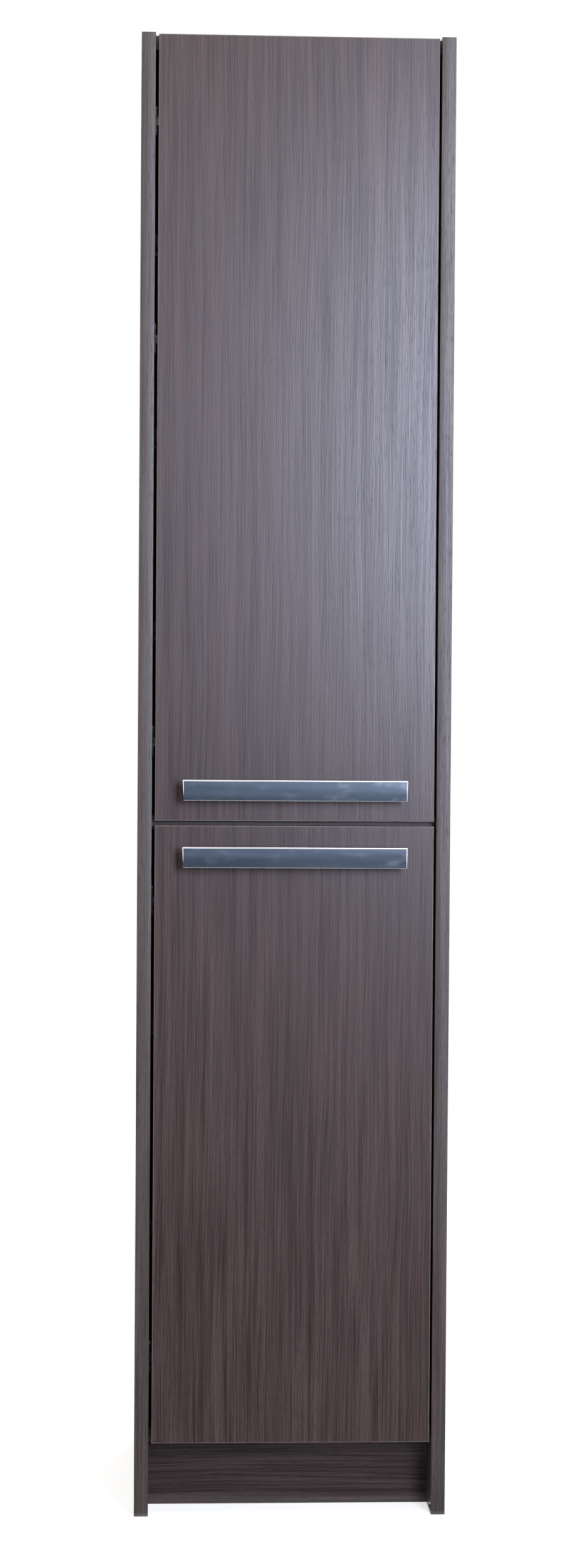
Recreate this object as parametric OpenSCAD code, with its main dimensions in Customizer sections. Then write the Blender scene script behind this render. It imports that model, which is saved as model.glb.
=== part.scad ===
// Tall bathroom linen cabinet with two inset doors, one above the other.
// Millimetres. X runs across the front, Y runs from the front to the wall, Z is up.
// The floor is at Z = 0, and the origin is under the middle of the whole cabinet.

/* [Cabinet] */
// Width over both side panels
cabinet_w = 400; // [380:5:460]
// Height of the side panels
cabinet_h = 1890; // [1800:10:2000]
// Depth of the carcass behind its front plane
cabinet_d = 400; // [370:10:450]
// Thickness of the side panels, fixed panels, shelves and rails
panel_t = 18; // [18:0.5:20]
// Thickness of the back panel
back_t = 4; // [3:0.5:5]
// Depth of the groove that holds the back panel
groove_d = 6; // [4:0.5:8]
// Thickness of the edge banding
band_t = 1; // [0.6:0.2:1.4]
// Height of the toe space under the bottom panel
toe_h = 92; // [84:2:110]
// Setback of the toe kick behind the front plane
toe_recess = 60; // [50:5:70]
// Height of the rear base rail
base_rail_h = 72; // [60:2:80]
// Height of the hanging rail
hang_rail_h = 90; // [76:2:120]
// Distance between the two wall holes
wall_hole_pitch = 256; // [192:32:256]
// Diameter of the wall holes
wall_hole_d = 6; // [5:0.5:8]

/* [Doors] */
// Thickness of the doors
door_t = 18; // [18:0.25:19]
// Gap between a door and the left side panel
hinge_gap = 4; // [3.5:0.25:5]
// Gap between a door and the right side panel
free_gap = 3; // [2:0.5:4]
// Gap between the two doors
door_gap = 6; // [4:0.5:7]
// Upper door's top edge below the top of the cabinet
top_reveal = 2; // [1:0.5:4]
// Lower door's bottom edge above the underside of the bottom panel
bottom_reveal = 2; // [1:0.5:4]
// Gap between a closed door and the panels behind it
stop_gap = 2; // [1.8:0.1:2.6]
// Height of the lower door
lower_door_h = 792; // [740:4:820]

/* [Shelves] */
// Gap between a loose shelf and a side panel
shelf_gap = 1; // [0.5:0.25:1.5]
// Setback of the loose shelves behind the front plane
shelf_setback = 45; // [40:5:60]
// Front row of shelf pins behind the front plane
pin_row_front = 75; // [70:5:100]
// Rear row of shelf pins in front of the carcass's rear edge
pin_row_rear = 55; // [45:5:80]
// Spacing of the holes in a row
hole_pitch = 32; // [24:1:32]
// Diameter of a shelf pin
pin_d = 5; // [4:0.5:6]
// Depth of a shelf pin hole
pin_hole_depth = 13; // [12:0.5:15]

/* [Handles] */
// Length of a handle along its top edge
handle_l = 286; // [276:2:320]
// Height of a handle's face
handle_h = 26; // [20:1:30]
// Thickness of a handle's bar
handle_t = 8; // [6:0.5:10]
// Height of a handle's face above the door
handle_proj = 30; // [24:1:36]
// How much each end leans in from its top to its bottom
handle_lean = 1; // [0.5:0.25:2]
// Bevel along the top edge of a handle
bevel_top = 1.6; // [0.8:0.2:2.4]
// Bevel along the bottom edge of a handle
bevel_bottom = 1.2; // [0.6:0.2:2]
// Bevel at the ends of a handle
bevel_end = 1.8; // [0.8:0.2:2.4]
// Radius of the crown across a handle's face
crown_r = 420; // [300:20:800]
// Distance between the two posts of a handle
post_pitch = 256; // [224:32:256]
// Diameter of a post
post_d = 12; // [9:0.5:14]
// Handle's centre line from the near edge of its door
handle_edge = 39.5; // [30:0.5:60]

/* [Hinges] */
// Diameter of the cup bore in the door
cup_bore_d = 35; // [35:0.1:35.6]
// Depth of the cup bore
cup_depth = 11.5; // [11.5:0.25:12.5]
// First and last hinge from the end of the door
hinge_end = 100; // [90:5:120]
// Distance between the two screws of a mounting plate
plate_pitch = 32; // [28:1:36]
// Distance between the two screws of a cup
cup_screw_pitch = 45; // [45:0.5:52]
// Thickness of the cup's flange
flange_t = 1.2; // [1:0.1:1.6]

/* [Fittings] */
// Diameter of a cam housing
cam_d = 15; // [14:0.5:16]
// Depth of a cam housing
cam_depth = 13.5; // [13.5:0.25:14.5]
// Centre of a cam from the end of its panel
cam_inset = 34; // [30:1:36]
// Diameter of a dowel
dowel_d = 8; // [6:1:9]
// Length of a dowel
dowel_l = 34; // [30:1:40]
// Length of a dowel inside the side panel
dowel_in = 12; // [10:0.5:13]
// Length of a nail
nail_l = 22; // [18:1:30]

/* [Hidden] */
$fn = 48;
wood = "#544a4c";
band = "#6b6663";
hardboard = "#8a8078";
metal = "#b9bcc0";
bright = "#d4d8de";
beech = "#c9a878";
rubber = "#d8d6d0";
over = 0.5;          // cutting tools reach this far past a face
ease = 0.03;         // keeps a straight bar's sides inside its round ends
inner_w = cabinet_w - 2 * panel_t;
wall_x = -inner_w / 2;                    // inner face of the left side panel
frame_y = (handle_proj - cabinet_d) / 2;  // moves the middle of the depth to the origin
stop_y = door_t + stop_gap;
back_y = cabinet_d - panel_t - back_t;
base_z = toe_h;
door_z0 = toe_h + bottom_reveal;
lower_top = door_z0 + lower_door_h;
upper_z0 = lower_top + door_gap;
upper_top = cabinet_h - top_reveal;
shelf_z = lower_top + door_gap / 2 - panel_t / 2;
top_z = cabinet_h - panel_t;
door_x0 = wall_x + hinge_gap;
door_w = inner_w - hinge_gap - free_gap;
hang_z = top_z - hang_rail_h;
base_rail_z = toe_h - base_rail_h;

// Loose shelves share the height of their compartment equally.
upper_clear = top_z - shelf_z - panel_t;
upper_bay = (upper_clear - 3 * panel_t) / 4;
upper_shelf_z = [for (n = [1:3]) shelf_z + panel_t + n * upper_bay + (n - 1) * panel_t];
lower_clear = shelf_z - base_z - panel_t;
lower_bay = (lower_clear - 2 * panel_t) / 3;
lower_shelf_z = [for (n = [1:2]) base_z + panel_t + n * lower_bay + (n - 1) * panel_t];
shelf_levels = concat(lower_shelf_z, upper_shelf_z);
shelf_back_gap = 1;   // between a loose shelf and the back panel

// Shelf pins hang below the shelf that they carry.
pin_drop = 3.5;
pin_end_gap = 1;      // between a pin's end and the bottom of its hole
pin_rows = [pin_row_front, cabinet_d - pin_row_rear];
pin_collar_t = 1.2;
pin_reach = 9;
spoon_w = 6;
spoon_t = 2;

// Panel joints: each entry is [Y, Z, turned], and a turned one is in an upright board.
joint_front_in = 80;  // front cam from a panel's front, clear of the toe kick below
joint_rear_in = 58;   // rear cam from the back panel, clear of the rear base rail
joint_front = stop_y + joint_front_in;
joint_rear = back_y - joint_rear_in;
joint_step = 40;
levels = [for (z = [base_z, shelf_z, top_z]) z + panel_t / 2];
toe_y = toe_recess + panel_t / 2;
base_y = back_y - panel_t / 2;
hang_y = cabinet_d - panel_t / 2;
level_cams = [for (z = levels, y = [joint_front, joint_rear]) [y, z, 0]];
level_dowels = [for (z = levels, y = [joint_front + joint_step, joint_rear - joint_step]) [y, z, 0]];
cam_share = 0.3;     // a cam's place up an upright board
dowel_share = 0.7;   // a dowel's place up an upright board
toe_cam = [toe_y, cam_share * toe_h, 1];
toe_dowel = [toe_y, dowel_share * toe_h, 1];
base_cam = [base_y, base_rail_z + cam_share * base_rail_h, 1];
base_dowel = [base_y, base_rail_z + dowel_share * base_rail_h, 1];
hang_cam = [hang_y, hang_z + cam_share * hang_rail_h, 1];
hang_dowel = [hang_y, hang_z + dowel_share * hang_rail_h, 1];
cams = concat(level_cams, [toe_cam, base_cam, hang_cam]);
all_dowels = concat(level_dowels, [toe_dowel, base_dowel, hang_dowel]);
bolt_thread_d = 5;
bolt_thread_l = 11;
bolt_shaft_d = 6;
bolt_neck_d = 3.8;
bolt_head_d = 6.2;
bolt_neck_l = 5;
bolt_head_l = 3.5;
cam_channel_d = 7;
board_channel_d = 8;
cam_slot_l = 9;
cam_slot_w = 1.6;
cam_slot_depth = 2.5;
nail_d = 1.6;
nail_head_d = 5;
nail_head_t = 0.8;
nail_spread = 0.36;   // outer nails from the middle, as a share of the inside width
nail_xs = [for (n = [-1:1]) n * inner_w * nail_spread];
nail_zs = [base_z + panel_t / 2, shelf_z + panel_t / 2];
groove_play = 0.3;    // between the back panel's edge and the bottom of its groove
back_top = top_z + groove_d - groove_play;
back_w = inner_w + 2 * (groove_d - groove_play);
wall_hole_z = hang_z + hang_rail_h / 2;
pad_play = 0.3;       // between a stop pad and the closed door
pad_t = stop_gap - pad_play;
pad_margin = 1;       // a pad from the door's edge
pad_w = 10;
pad_h = 4.5;
pad_inset = 32;       // a pad from the right side panel
pad_x = inner_w / 2 - pad_inset;
pad_zs = [base_z + panel_t / 2, lower_top - pad_margin - pad_h / 2,
          upper_z0 + pad_margin + pad_h / 2, top_z + panel_t / 2];

// Handles and their screws
crown_fn = 256;
handle_screw_d = 4;
handle_screw_hole = 5;
handle_screw_in = 12;
screw_head_d = 8;
screw_head_t = 2.6;

// Hinge linkage, as [from the inner face of the side panel, from the front plane], door closed.
// The outer link joins the arm to the cup edge. The inner link joins the arm's nose to the cup.
outer_cup_in = 10.32;    // outer link's cup pin from the door's edge
outer_cup_under = 0.14;  // and under the door's back face
inner_cup_in = 16.77;
inner_cup_under = 2.78;
outer_arm_in = 37;       // outer link's arm pin from the door's edge
outer_arm_behind = 24.56;  // and behind the door's back face
outer_pin_cup = [hinge_gap + outer_cup_in, door_t - outer_cup_under];
inner_pin_cup = [hinge_gap + inner_cup_in, door_t - inner_cup_under];
outer_pin_arm = [hinge_gap + outer_arm_in, door_t + outer_arm_behind];
outer_turn = 30.73;
inner_turn = 53.37;
door_turn = 95;
function turned(a, p) = [p[0] * cos(a) - p[1] * sin(a), p[0] * sin(a) + p[1] * cos(a)];
function centre_of_turn(p, q, a) = (p + q) / 2 + turned(90, q - p) / (2 * tan(a / 2));
outer_pin_open = outer_pin_arm + turned(outer_turn, outer_pin_cup - outer_pin_arm);
inner_pin_open = outer_pin_open + turned(-door_turn, inner_pin_cup - outer_pin_cup);
inner_pin_arm = centre_of_turn(inner_pin_cup, inner_pin_open, inner_turn);
elbow_x = 5;             // bends of the outer link, from its arm pin and its cup pin
elbow_y = -0.27;
bend_x = 7.48;
bend_y = 5.77;
heel_x = 3.5;
inner_elbow_x = 3.74;    // bend of the inner link, from its cup pin
inner_elbow_y = -4.23;
eye_x = 0.22;            // middle of the open eye, from the cup pin that slides in it
eye_y = -1.47;
outer_elbow = outer_pin_arm + [elbow_x, elbow_y];
outer_bend = outer_pin_cup + [bend_x, bend_y];
outer_heel = outer_pin_cup + [heel_x, 0];
inner_elbow = inner_pin_cup + [inner_elbow_x, inner_elbow_y];
eye_at = inner_pin_cup + [eye_x, eye_y];
eye_r = 2.9;
eye_boss_r = 4.15;
link_half = 2.1;
link_eye_r = 2.4;
hinge_pin_d = 2.3;
link_fit = 0.05;     // radial clearance of a link on its pin
nose_half = 2.7;
crank_half = 3.2;
knee_x = 13;
knee_behind = 32;        // the arm's bend, plate and screws, behind the door's back face
plate_front_behind = 33;
plate_screw_behind = 39;
adjust_behind = 50;
clamp_behind = 68;
arm_end_behind = 80;
arm_knee = [knee_x, door_t + knee_behind];
inner_layer = 3.5;   // half thickness of the inner link
outer_layer = [3.8, 5.3];
arm_layer = [5.6, 7.1];
ear_layer = [7.4, 10.4];
link_web_t = 1.2;
link_web_span = [0.1, 0.52];   // the web's start and end along the outer link
arm_top = 16.4;
arm_web_t = 1.5;
arm_web_span = [0.1, 0.82];    // the web's start and end along the crank
arm_skirt = 5;
arm_end = door_t + arm_end_behind;
plate_t = 2;
plate_y = door_t + plate_screw_behind;
plate_wing_r = 6;
rail_half = 5.3;
plate_half = 7;
plate_front = door_t + plate_front_behind;
plate_screw_d = 5;
plate_screw_l = 11;
plate_head_d = 8;
plate_head_t = 1.6;
clamp_y = door_t + clamp_behind;
adjust_y = door_t + adjust_behind;
arm_screw_d = 4;
arm_screw_l = 11;
arm_head_d = 7;
arm_head_t = 1.8;
cup_in = 22.5;           // cup's centre from the door's edge
cup_screw_step = 9.5;    // cup screws from the cup's centre
cup_x = hinge_gap + cup_in;
cup_play = 0.1;
cup_r = cup_bore_d / 2 - cup_play;
cup_wall = 1;
cup_screw_x = cup_x + cup_screw_step;
cup_rim = 2;
cup_flange_r = cup_r + cup_rim;
cup_wing_r = 5.5;
cup_mouth_half = 6.4;   // the flange is open here, where the outer links leave the cup
cup_screw_d = 3.5;
cup_screw_l = 13;
cup_screw_hole = 4.2;
cup_head_d = 7;
cup_head_t = 1.5;
ear_r = 2.4;
ear_foot = 12;
slot_w = 1;
slot_depth = 0.9;
upper_hinge_z = [upper_z0 + hinge_end, upper_shelf_z[1] + panel_t + upper_bay / 2, upper_top - hinge_end];
lower_hinge_z = [door_z0 + hinge_end, lower_top - hinge_end];
hinge_levels = concat(lower_hinge_z, upper_hinge_z);

// Placing and drawing helpers

module place() {
    translate([0, frame_y, 0]) children();
}

module box(x0, y0, z0, x1, y1, z1) {
    translate([x0, y0, z0]) cube([x1 - x0, y1 - y0, z1 - z0]);
}

module both_ends() {
    children();
    mirror([1, 0, 0]) children();
}

module up_and_down() {
    children();
    mirror([0, 0, 1]) children();
}

// Local Z points out of the cabinet, through the left side panel.
module into_side(y, z) {
    translate([wall_x, y, z]) rotate([0, -90, 0]) children();
}

// Local Z points to the wall behind the cabinet.
module rearward(x, y, z) {
    translate([x, y, z]) rotate([-90, 0, 0]) children();
}

// A flat shape drawn in X and Z, thickened along Y from y0.
module slab_y(y0, t) {
    translate([0, y0 + t, 0]) rotate([90, 0, 0]) linear_extrude(t) children();
}

// A flat shape drawn in X and Y, thickened from one height to another.
module layer(z0, z1) {
    translate([0, 0, z0]) linear_extrude(z1 - z0) children();
}

module bar(p, q, half) {
    run = q - p;
    translate(p) circle(half);
    translate(q) circle(half);
    translate(p) rotate(atan2(run[1], run[0])) translate([0, ease - half]) square([norm(run), 2 * (half - ease)]);
}

// A strip beside the line from p to q, between two distances on its left-hand side.
module side_strip(p, q, span, near, far) {
    run = q - p;
    translate(p) rotate(atan2(run[1], run[0])) translate([span[0] * norm(run), near])
        square([(span[1] - span[0]) * norm(run), far - near]);
}

module cross_slot(l, w, depth) {
    translate([-l / 2, -w / 2, -over]) cube([l, w, depth + over]);
    translate([-w / 2, -l / 2, -over]) cube([w, l, depth + over]);
}

// Panel joints

module joint_at(site) {
    translate([wall_x, site[0], site[1]]) rotate([site[2] * 90, 0, 0]) children();
}

module joint_bores(cam_sites, dowel_sites) {
    both_ends() {
        for (site = cam_sites) joint_at(site) {
            translate([cam_inset, 0, -panel_t / 2 - over]) cylinder(d = cam_d, h = cam_depth + over);
            translate([-over, 0, 0]) rotate([0, 90, 0]) cylinder(d = board_channel_d, h = cam_inset + over);
        }
        for (site = dowel_sites) joint_at(site)
            translate([-over, 0, 0]) rotate([0, 90, 0]) cylinder(d = dowel_d, h = dowel_l - dowel_in + over);
    }
}

module cam_housings() place() color(metal) both_ends() for (site = cams) joint_at(site)
    translate([cam_inset, 0, -panel_t / 2]) difference() {
        cylinder(d = cam_d, h = cam_depth);
        cross_slot(cam_slot_l, cam_slot_w, cam_slot_depth);
        translate([-cam_d, 0, panel_t / 2]) rotate([0, 90, 0])
            cylinder(d = cam_channel_d, h = cam_d + bolt_head_l);
    }

module cam_bolts() place() color(metal) both_ends() for (site = cams) joint_at(site)
    translate([-bolt_thread_l, 0, 0]) rotate([0, 90, 0]) {
        cylinder(d = bolt_thread_d, h = bolt_thread_l);
        translate([0, 0, bolt_thread_l]) {
            cylinder(d = bolt_shaft_d, h = cam_inset - bolt_neck_l);
            translate([0, 0, cam_inset - bolt_neck_l]) cylinder(d = bolt_neck_d, h = bolt_neck_l);
            translate([0, 0, cam_inset - bolt_head_l / 2]) cylinder(d = bolt_head_d, h = bolt_head_l);
        }
    }

module dowels() place() color(beech) both_ends() for (site = all_dowels) joint_at(site)
    translate([-dowel_in, 0, 0]) rotate([0, 90, 0]) cylinder(d = dowel_d, h = dowel_l);

// Carcass panels

module side_panel(hinged) {
    difference() {
        box(-cabinet_w / 2, band_t, 0, wall_x, cabinet_d, cabinet_h);
        box(wall_x - groove_d, back_y, toe_h, wall_x + over, back_y + back_t, top_z + groove_d);
        for (site = cams) into_side(site[0], site[1])
            translate([0, 0, -over]) cylinder(d = bolt_thread_d, h = bolt_thread_l + over);
        for (site = all_dowels) into_side(site[0], site[1])
            translate([0, 0, -over]) cylinder(d = dowel_d, h = dowel_in + over);
        for (z = shelf_levels, y = pin_rows, n = [-2:2]) into_side(y, z - pin_drop + n * hole_pitch)
            translate([0, 0, -over]) cylinder(d = pin_d, h = pin_hole_depth + over);
        if (hinged) for (z = hinge_levels, s = [-1, 1]) into_side(plate_y, z + s * plate_pitch / 2)
            translate([0, 0, -over]) cylinder(d = plate_screw_d, h = plate_screw_l + over);
    }
}

module left_side_panel() place() color(wood) side_panel(true);

module right_side_panel() place() color(wood) mirror([1, 0, 0]) side_panel(false);

function on_level(sites, z) = [for (site = sites) if (abs(site[1] - z - panel_t / 2) < over) site];

module level_board(z, y1) {
    difference() {
        box(wall_x, stop_y + band_t, z, -wall_x, y1, z + panel_t);
        joint_bores(on_level(level_cams, z), on_level(level_dowels, z));
    }
}

module top_panel() place() color(wood) difference() {
    level_board(top_z, cabinet_d);
    box(wall_x - over, back_y, top_z - over, over - wall_x, back_y + back_t, top_z + groove_d);
}

module nail_bores(z) {
    for (x = nail_xs) rearward(x, back_y + back_t - nail_l, z) cylinder(d = nail_d, h = nail_l);
}

module fixed_shelf() place() color(wood) difference() {
    level_board(shelf_z, back_y);
    nail_bores(nail_zs[1]);
}

module bottom_panel() place() color(wood) difference() {
    level_board(base_z, back_y);
    nail_bores(nail_zs[0]);
}

module wall_holes(y0, y1) {
    both_ends() rearward(wall_hole_pitch / 2, y0 - over, wall_hole_z)
        cylinder(d = wall_hole_d, h = y1 - y0 + 2 * over);
}

module back_panel() place() color(hardboard) difference() {
    box(-back_w / 2, back_y, toe_h, back_w / 2, back_y + back_t, back_top);
    wall_holes(back_y, back_y + back_t);
    for (x = nail_xs, z = nail_zs) rearward(x, back_y - over, z) cylinder(d = nail_d, h = back_t + 2 * over);
}

module toe_kick() place() color(wood) difference() {
    box(wall_x, toe_recess, 0, -wall_x, toe_recess + panel_t, toe_h);
    joint_bores([toe_cam], [toe_dowel]);
}

module hanging_rail() place() color(wood) difference() {
    box(wall_x, cabinet_d - panel_t, hang_z, -wall_x, cabinet_d, top_z);
    joint_bores([hang_cam], [hang_dowel]);
    wall_holes(cabinet_d - panel_t, cabinet_d);
}

module rear_base_rail() place() color(wood) difference() {
    box(wall_x, back_y - panel_t, base_rail_z, -wall_x, back_y, toe_h);
    joint_bores([base_cam], [base_dowel]);
}

module shelf_board(z) {
    box(wall_x + shelf_gap, shelf_setback + band_t, z, -wall_x - shelf_gap,
        back_y - shelf_back_gap, z + panel_t);
}

module upper_shelf_1() place() color(wood) shelf_board(upper_shelf_z[0]);

module upper_shelf_2() place() color(wood) shelf_board(upper_shelf_z[1]);

module upper_shelf_3() place() color(wood) shelf_board(upper_shelf_z[2]);

module lower_shelf_1() place() color(wood) shelf_board(lower_shelf_z[0]);

module lower_shelf_2() place() color(wood) shelf_board(lower_shelf_z[1]);

module side_edge_bands() place() color(band) both_ends()
    box(-cabinet_w / 2, 0, 0, wall_x, band_t, cabinet_h);

module fixed_panel_edge_bands() place() color(band) for (z = [base_z, shelf_z, top_z])
    box(wall_x, stop_y, z, -wall_x, stop_y + band_t, z + panel_t);

module shelf_edge_bands() place() color(band) for (z = shelf_levels)
    box(wall_x + shelf_gap, shelf_setback, z, -wall_x - shelf_gap, shelf_setback + band_t, z + panel_t);

module shelf_pin() {
    rotate([0, 90, 0]) {
        translate([0, 0, pin_end_gap - pin_hole_depth])
            cylinder(d = pin_d, h = pin_hole_depth - pin_end_gap + pin_reach);
        cylinder(r = pin_drop, h = pin_collar_t);
    }
    box(0, -spoon_w / 2, pin_drop - spoon_t, pin_reach, spoon_w / 2, pin_drop);
}

module shelf_pins() place() color(metal) both_ends() for (z = shelf_levels, y = pin_rows)
    translate([wall_x, y, z - pin_drop]) shelf_pin();

module back_nails() place() color(metal) for (x = nail_xs, z = nail_zs) {
    rearward(x, back_y + back_t - nail_l, z) cylinder(d = nail_d, h = nail_l + nail_head_t / 2);
    rearward(x, back_y + back_t, z) cylinder(d = nail_head_d, h = nail_head_t);
}

module stop_pads() place() color(rubber) for (z = pad_zs)
    box(pad_x - pad_w / 2, stop_y - pad_t, z - pad_h / 2, pad_x + pad_w / 2, stop_y, z + pad_h / 2);

// Doors

module cup_bores(hinge_z) {
    for (z = hinge_z) translate([wall_x, 0, 0]) {
        rearward(cup_x, door_t - cup_depth, z) cylinder(d = cup_bore_d, h = cup_depth + over);
        for (s = [-1, 1]) rearward(cup_screw_x, door_t + flange_t - cup_screw_l, z + s * cup_screw_pitch / 2)
            cylinder(d = cup_screw_d, h = cup_screw_l);
    }
}

module door_board(z0, z1, handle_z, hinge_z) {
    difference() {
        box(door_x0 + band_t, 0, z0 + band_t, door_x0 + door_w - band_t, door_t, z1 - band_t);
        cup_bores(hinge_z);
        both_ends() rearward(post_pitch / 2, -over, handle_z) cylinder(d = handle_screw_hole, h = door_t + 2 * over);
    }
}

module door_bands(z0, z1) {
    for (x = [door_x0, door_x0 + door_w - band_t]) box(x, 0, z0, x + band_t, door_t, z1);
    for (z = [z0, z1 - band_t])
        box(door_x0 + band_t, 0, z, door_x0 + door_w - band_t, door_t, z + band_t);
}

upper_handle_z = upper_z0 + handle_edge;
lower_handle_z = lower_top - handle_edge;

module upper_door() place() color(wood) door_board(upper_z0, upper_top, upper_handle_z, upper_hinge_z);

module lower_door() place() color(wood) door_board(door_z0, lower_top, lower_handle_z, lower_hinge_z);

module upper_door_edge_bands() place() color(band) door_bands(upper_z0, upper_top);

module lower_door_edge_bands() place() color(band) door_bands(door_z0, lower_top);

// Handles

module handle_bar() {
    half_l = handle_l / 2;
    half_h = handle_h / 2;
    intersection() {
        slab_y(-handle_proj, handle_t) polygon([
            [-half_l, half_h], [half_l, half_h],
            [half_l - handle_lean, -half_h], [handle_lean - half_l, -half_h]]);
        translate([-half_l, -handle_proj, 0]) rotate([90, 0, 90]) linear_extrude(handle_l) polygon([
            [0, half_h - bevel_top], [bevel_top, half_h], [handle_t, half_h],
            [handle_t, -half_h], [bevel_bottom, -half_h], [0, bevel_bottom - half_h]]);
        translate([0, -handle_proj, -half_h]) linear_extrude(handle_h) polygon([
            [-half_l, bevel_end], [-half_l, handle_t], [half_l, handle_t],
            [half_l, bevel_end], [half_l - bevel_end, 0], [bevel_end - half_l, 0]]);
        translate([-half_l, crown_r - handle_proj, 0]) rotate([0, 90, 0])
            cylinder(r = crown_r, h = handle_l, $fn = crown_fn);
    }
}

module handle(z) {
    translate([0, 0, z]) difference() {
        union() {
            handle_bar();
            both_ends() rearward(post_pitch / 2, handle_t / 2 - handle_proj, 0)
                cylinder(d = post_d, h = handle_proj - handle_t / 2);
        }
        both_ends() rearward(post_pitch / 2, -handle_screw_in, 0)
            cylinder(d = handle_screw_d, h = handle_screw_in + over);
    }
}

module upper_handle() place() color(bright) handle(upper_handle_z);

module lower_handle() place() color(bright) handle(lower_handle_z);

module handle_screws(z) {
    both_ends() {
        rearward(post_pitch / 2, -handle_screw_in, z) cylinder(d = handle_screw_d, h = handle_screw_in + door_t);
        rearward(post_pitch / 2, door_t, z) difference() {
            cylinder(d = screw_head_d, h = screw_head_t);
            translate([0, 0, screw_head_t]) mirror([0, 0, 1]) cross_slot(screw_head_d / 2, slot_w, slot_depth);
        }
    }
}

module upper_handle_screws() place() color(metal) handle_screws(upper_handle_z);

module lower_handle_screws() place() color(metal) handle_screws(lower_handle_z);

// Hinges

module at_hinge(z) {
    translate([wall_x, 0, z]) children();
}

module hinge_bore(p, d) {
    translate(p) circle(d = d);
}

module arm_screw_axes() {
    for (y = [clamp_y, adjust_y]) translate([arm_top, y, 0]) rotate([0, 90, 0]) children();
}

module hinge_arm(z) {
    at_hinge(z) difference() {
        union() {
            up_and_down() layer(arm_layer[0], arm_layer[1]) difference() {
                union() {
                    bar(inner_pin_arm, outer_pin_arm, nose_half);
                    bar(outer_pin_arm, arm_knee, crank_half);
                    translate([arm_skirt, plate_front]) square([arm_top - arm_skirt, arm_end - plate_front]);
                }
                hinge_bore(inner_pin_arm, hinge_pin_d);
                hinge_bore(outer_pin_arm, hinge_pin_d);
            }
            layer(-arm_layer[0], arm_layer[0]) {
                side_strip(arm_knee, outer_pin_arm, arm_web_span, crank_half - arm_web_t, crank_half - ease);
                translate([arm_top - arm_web_t, arm_knee[1]]) square([arm_web_t, arm_end - arm_knee[1]]);
            }
        }
        arm_screw_axes() translate([0, 0, -arm_web_t - over]) cylinder(d = arm_screw_d, h = arm_web_t + 2 * over);
    }
}

module hinge_plate(z) {
    at_hinge(z) difference() {
        union() {
            layer(-plate_half, plate_half) translate([0, plate_front]) square([plate_t, arm_end - plate_front]);
            translate([0, plate_y, 0]) rotate([90, 0, 90]) linear_extrude(plate_t)
                bar([0, -plate_pitch / 2], [0, plate_pitch / 2], plate_wing_r);
            layer(-rail_half, rail_half) translate([0, plate_front])
                square([arm_top - arm_web_t, arm_end - plate_front]);
        }
        for (s = [-1, 1]) translate([-over, plate_y, s * plate_pitch / 2]) rotate([0, 90, 0])
            cylinder(d = plate_screw_d, h = plate_t + 2 * over);
        arm_screw_axes() translate([0, 0, -arm_screw_l]) cylinder(d = arm_screw_d, h = arm_screw_l);
    }
}

module hinge_plate_screws() place() color(metal) for (z = hinge_levels, s = [-1, 1])
    at_hinge(z + s * plate_pitch / 2) translate([0, plate_y, 0]) rotate([0, 90, 0]) {
        translate([0, 0, -plate_screw_l]) cylinder(d = plate_screw_d, h = plate_screw_l + plate_t);
        translate([0, 0, plate_t]) difference() {
            cylinder(d = plate_head_d, h = plate_head_t);
            translate([0, 0, plate_head_t]) mirror([0, 0, 1]) cross_slot(plate_head_d / 2, slot_w, slot_depth);
        }
    }

module hinge_arm_screws() place() color(metal) for (z = hinge_levels) at_hinge(z) arm_screw_axes() {
    translate([0, 0, -arm_screw_l]) cylinder(d = arm_screw_d, h = arm_screw_l);
    difference() {
        cylinder(d = arm_head_d, h = arm_head_t);
        translate([0, 0, arm_head_t]) mirror([0, 0, 1]) cross_slot(arm_head_d / 2, slot_w, slot_depth);
    }
}

module hinge_arm_pins() place() color(metal) for (z = hinge_levels, p = [inner_pin_arm, outer_pin_arm])
    at_hinge(z) layer(-arm_layer[1], arm_layer[1]) hinge_bore(p, hinge_pin_d);

module cup_outline() {
    translate([cup_x, 0]) circle(cup_flange_r);
    bar([cup_screw_x, -cup_screw_pitch / 2], [cup_screw_x, cup_screw_pitch / 2], cup_wing_r);
}

module cup_ear() {
    floor_y = door_t - cup_depth;
    layer(ear_layer[0], ear_layer[1]) {
        bar(outer_pin_cup, inner_pin_cup, ear_r);
        translate([outer_pin_cup[0] - ear_r + ease, floor_y]) square([ear_foot, outer_pin_cup[1] - floor_y]);
    }
}

module cup_shell() {
    difference() {
        union() {
            rearward(cup_x, door_t - cup_depth, 0) cylinder(r = cup_r, h = cup_depth);
            slab_y(door_t, flange_t) cup_outline();
        }
        rearward(cup_x, door_t - cup_depth + cup_wall, 0)
            cylinder(r = cup_r - cup_wall, h = cup_depth + flange_t);
        for (s = [-1, 1]) rearward(cup_screw_x, door_t - over, s * cup_screw_pitch / 2)
            cylinder(d = cup_screw_hole, h = flange_t + 2 * over);
        box(cup_x - cup_flange_r - over, door_t, -cup_mouth_half, cup_x - cup_r / 2,
            door_t + flange_t + over, cup_mouth_half);
    }
}

module hinge_cup(z) {
    at_hinge(z) difference() {
        union() {
            cup_shell();
            intersection() {
                up_and_down() cup_ear();
                rearward(cup_x, door_t - cup_depth, 0) cylinder(r = cup_r - ease, h = cup_depth + ear_r);
            }
        }
        layer(-ear_layer[1], ear_layer[1]) {
            hinge_bore(outer_pin_cup, hinge_pin_d);
            hinge_bore(inner_pin_cup, hinge_pin_d);
        }
    }
}

module cup_pins(hinge_z) {
    for (z = hinge_z, p = [outer_pin_cup, inner_pin_cup])
        at_hinge(z) layer(-ear_layer[1], ear_layer[1]) hinge_bore(p, hinge_pin_d);
}

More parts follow.
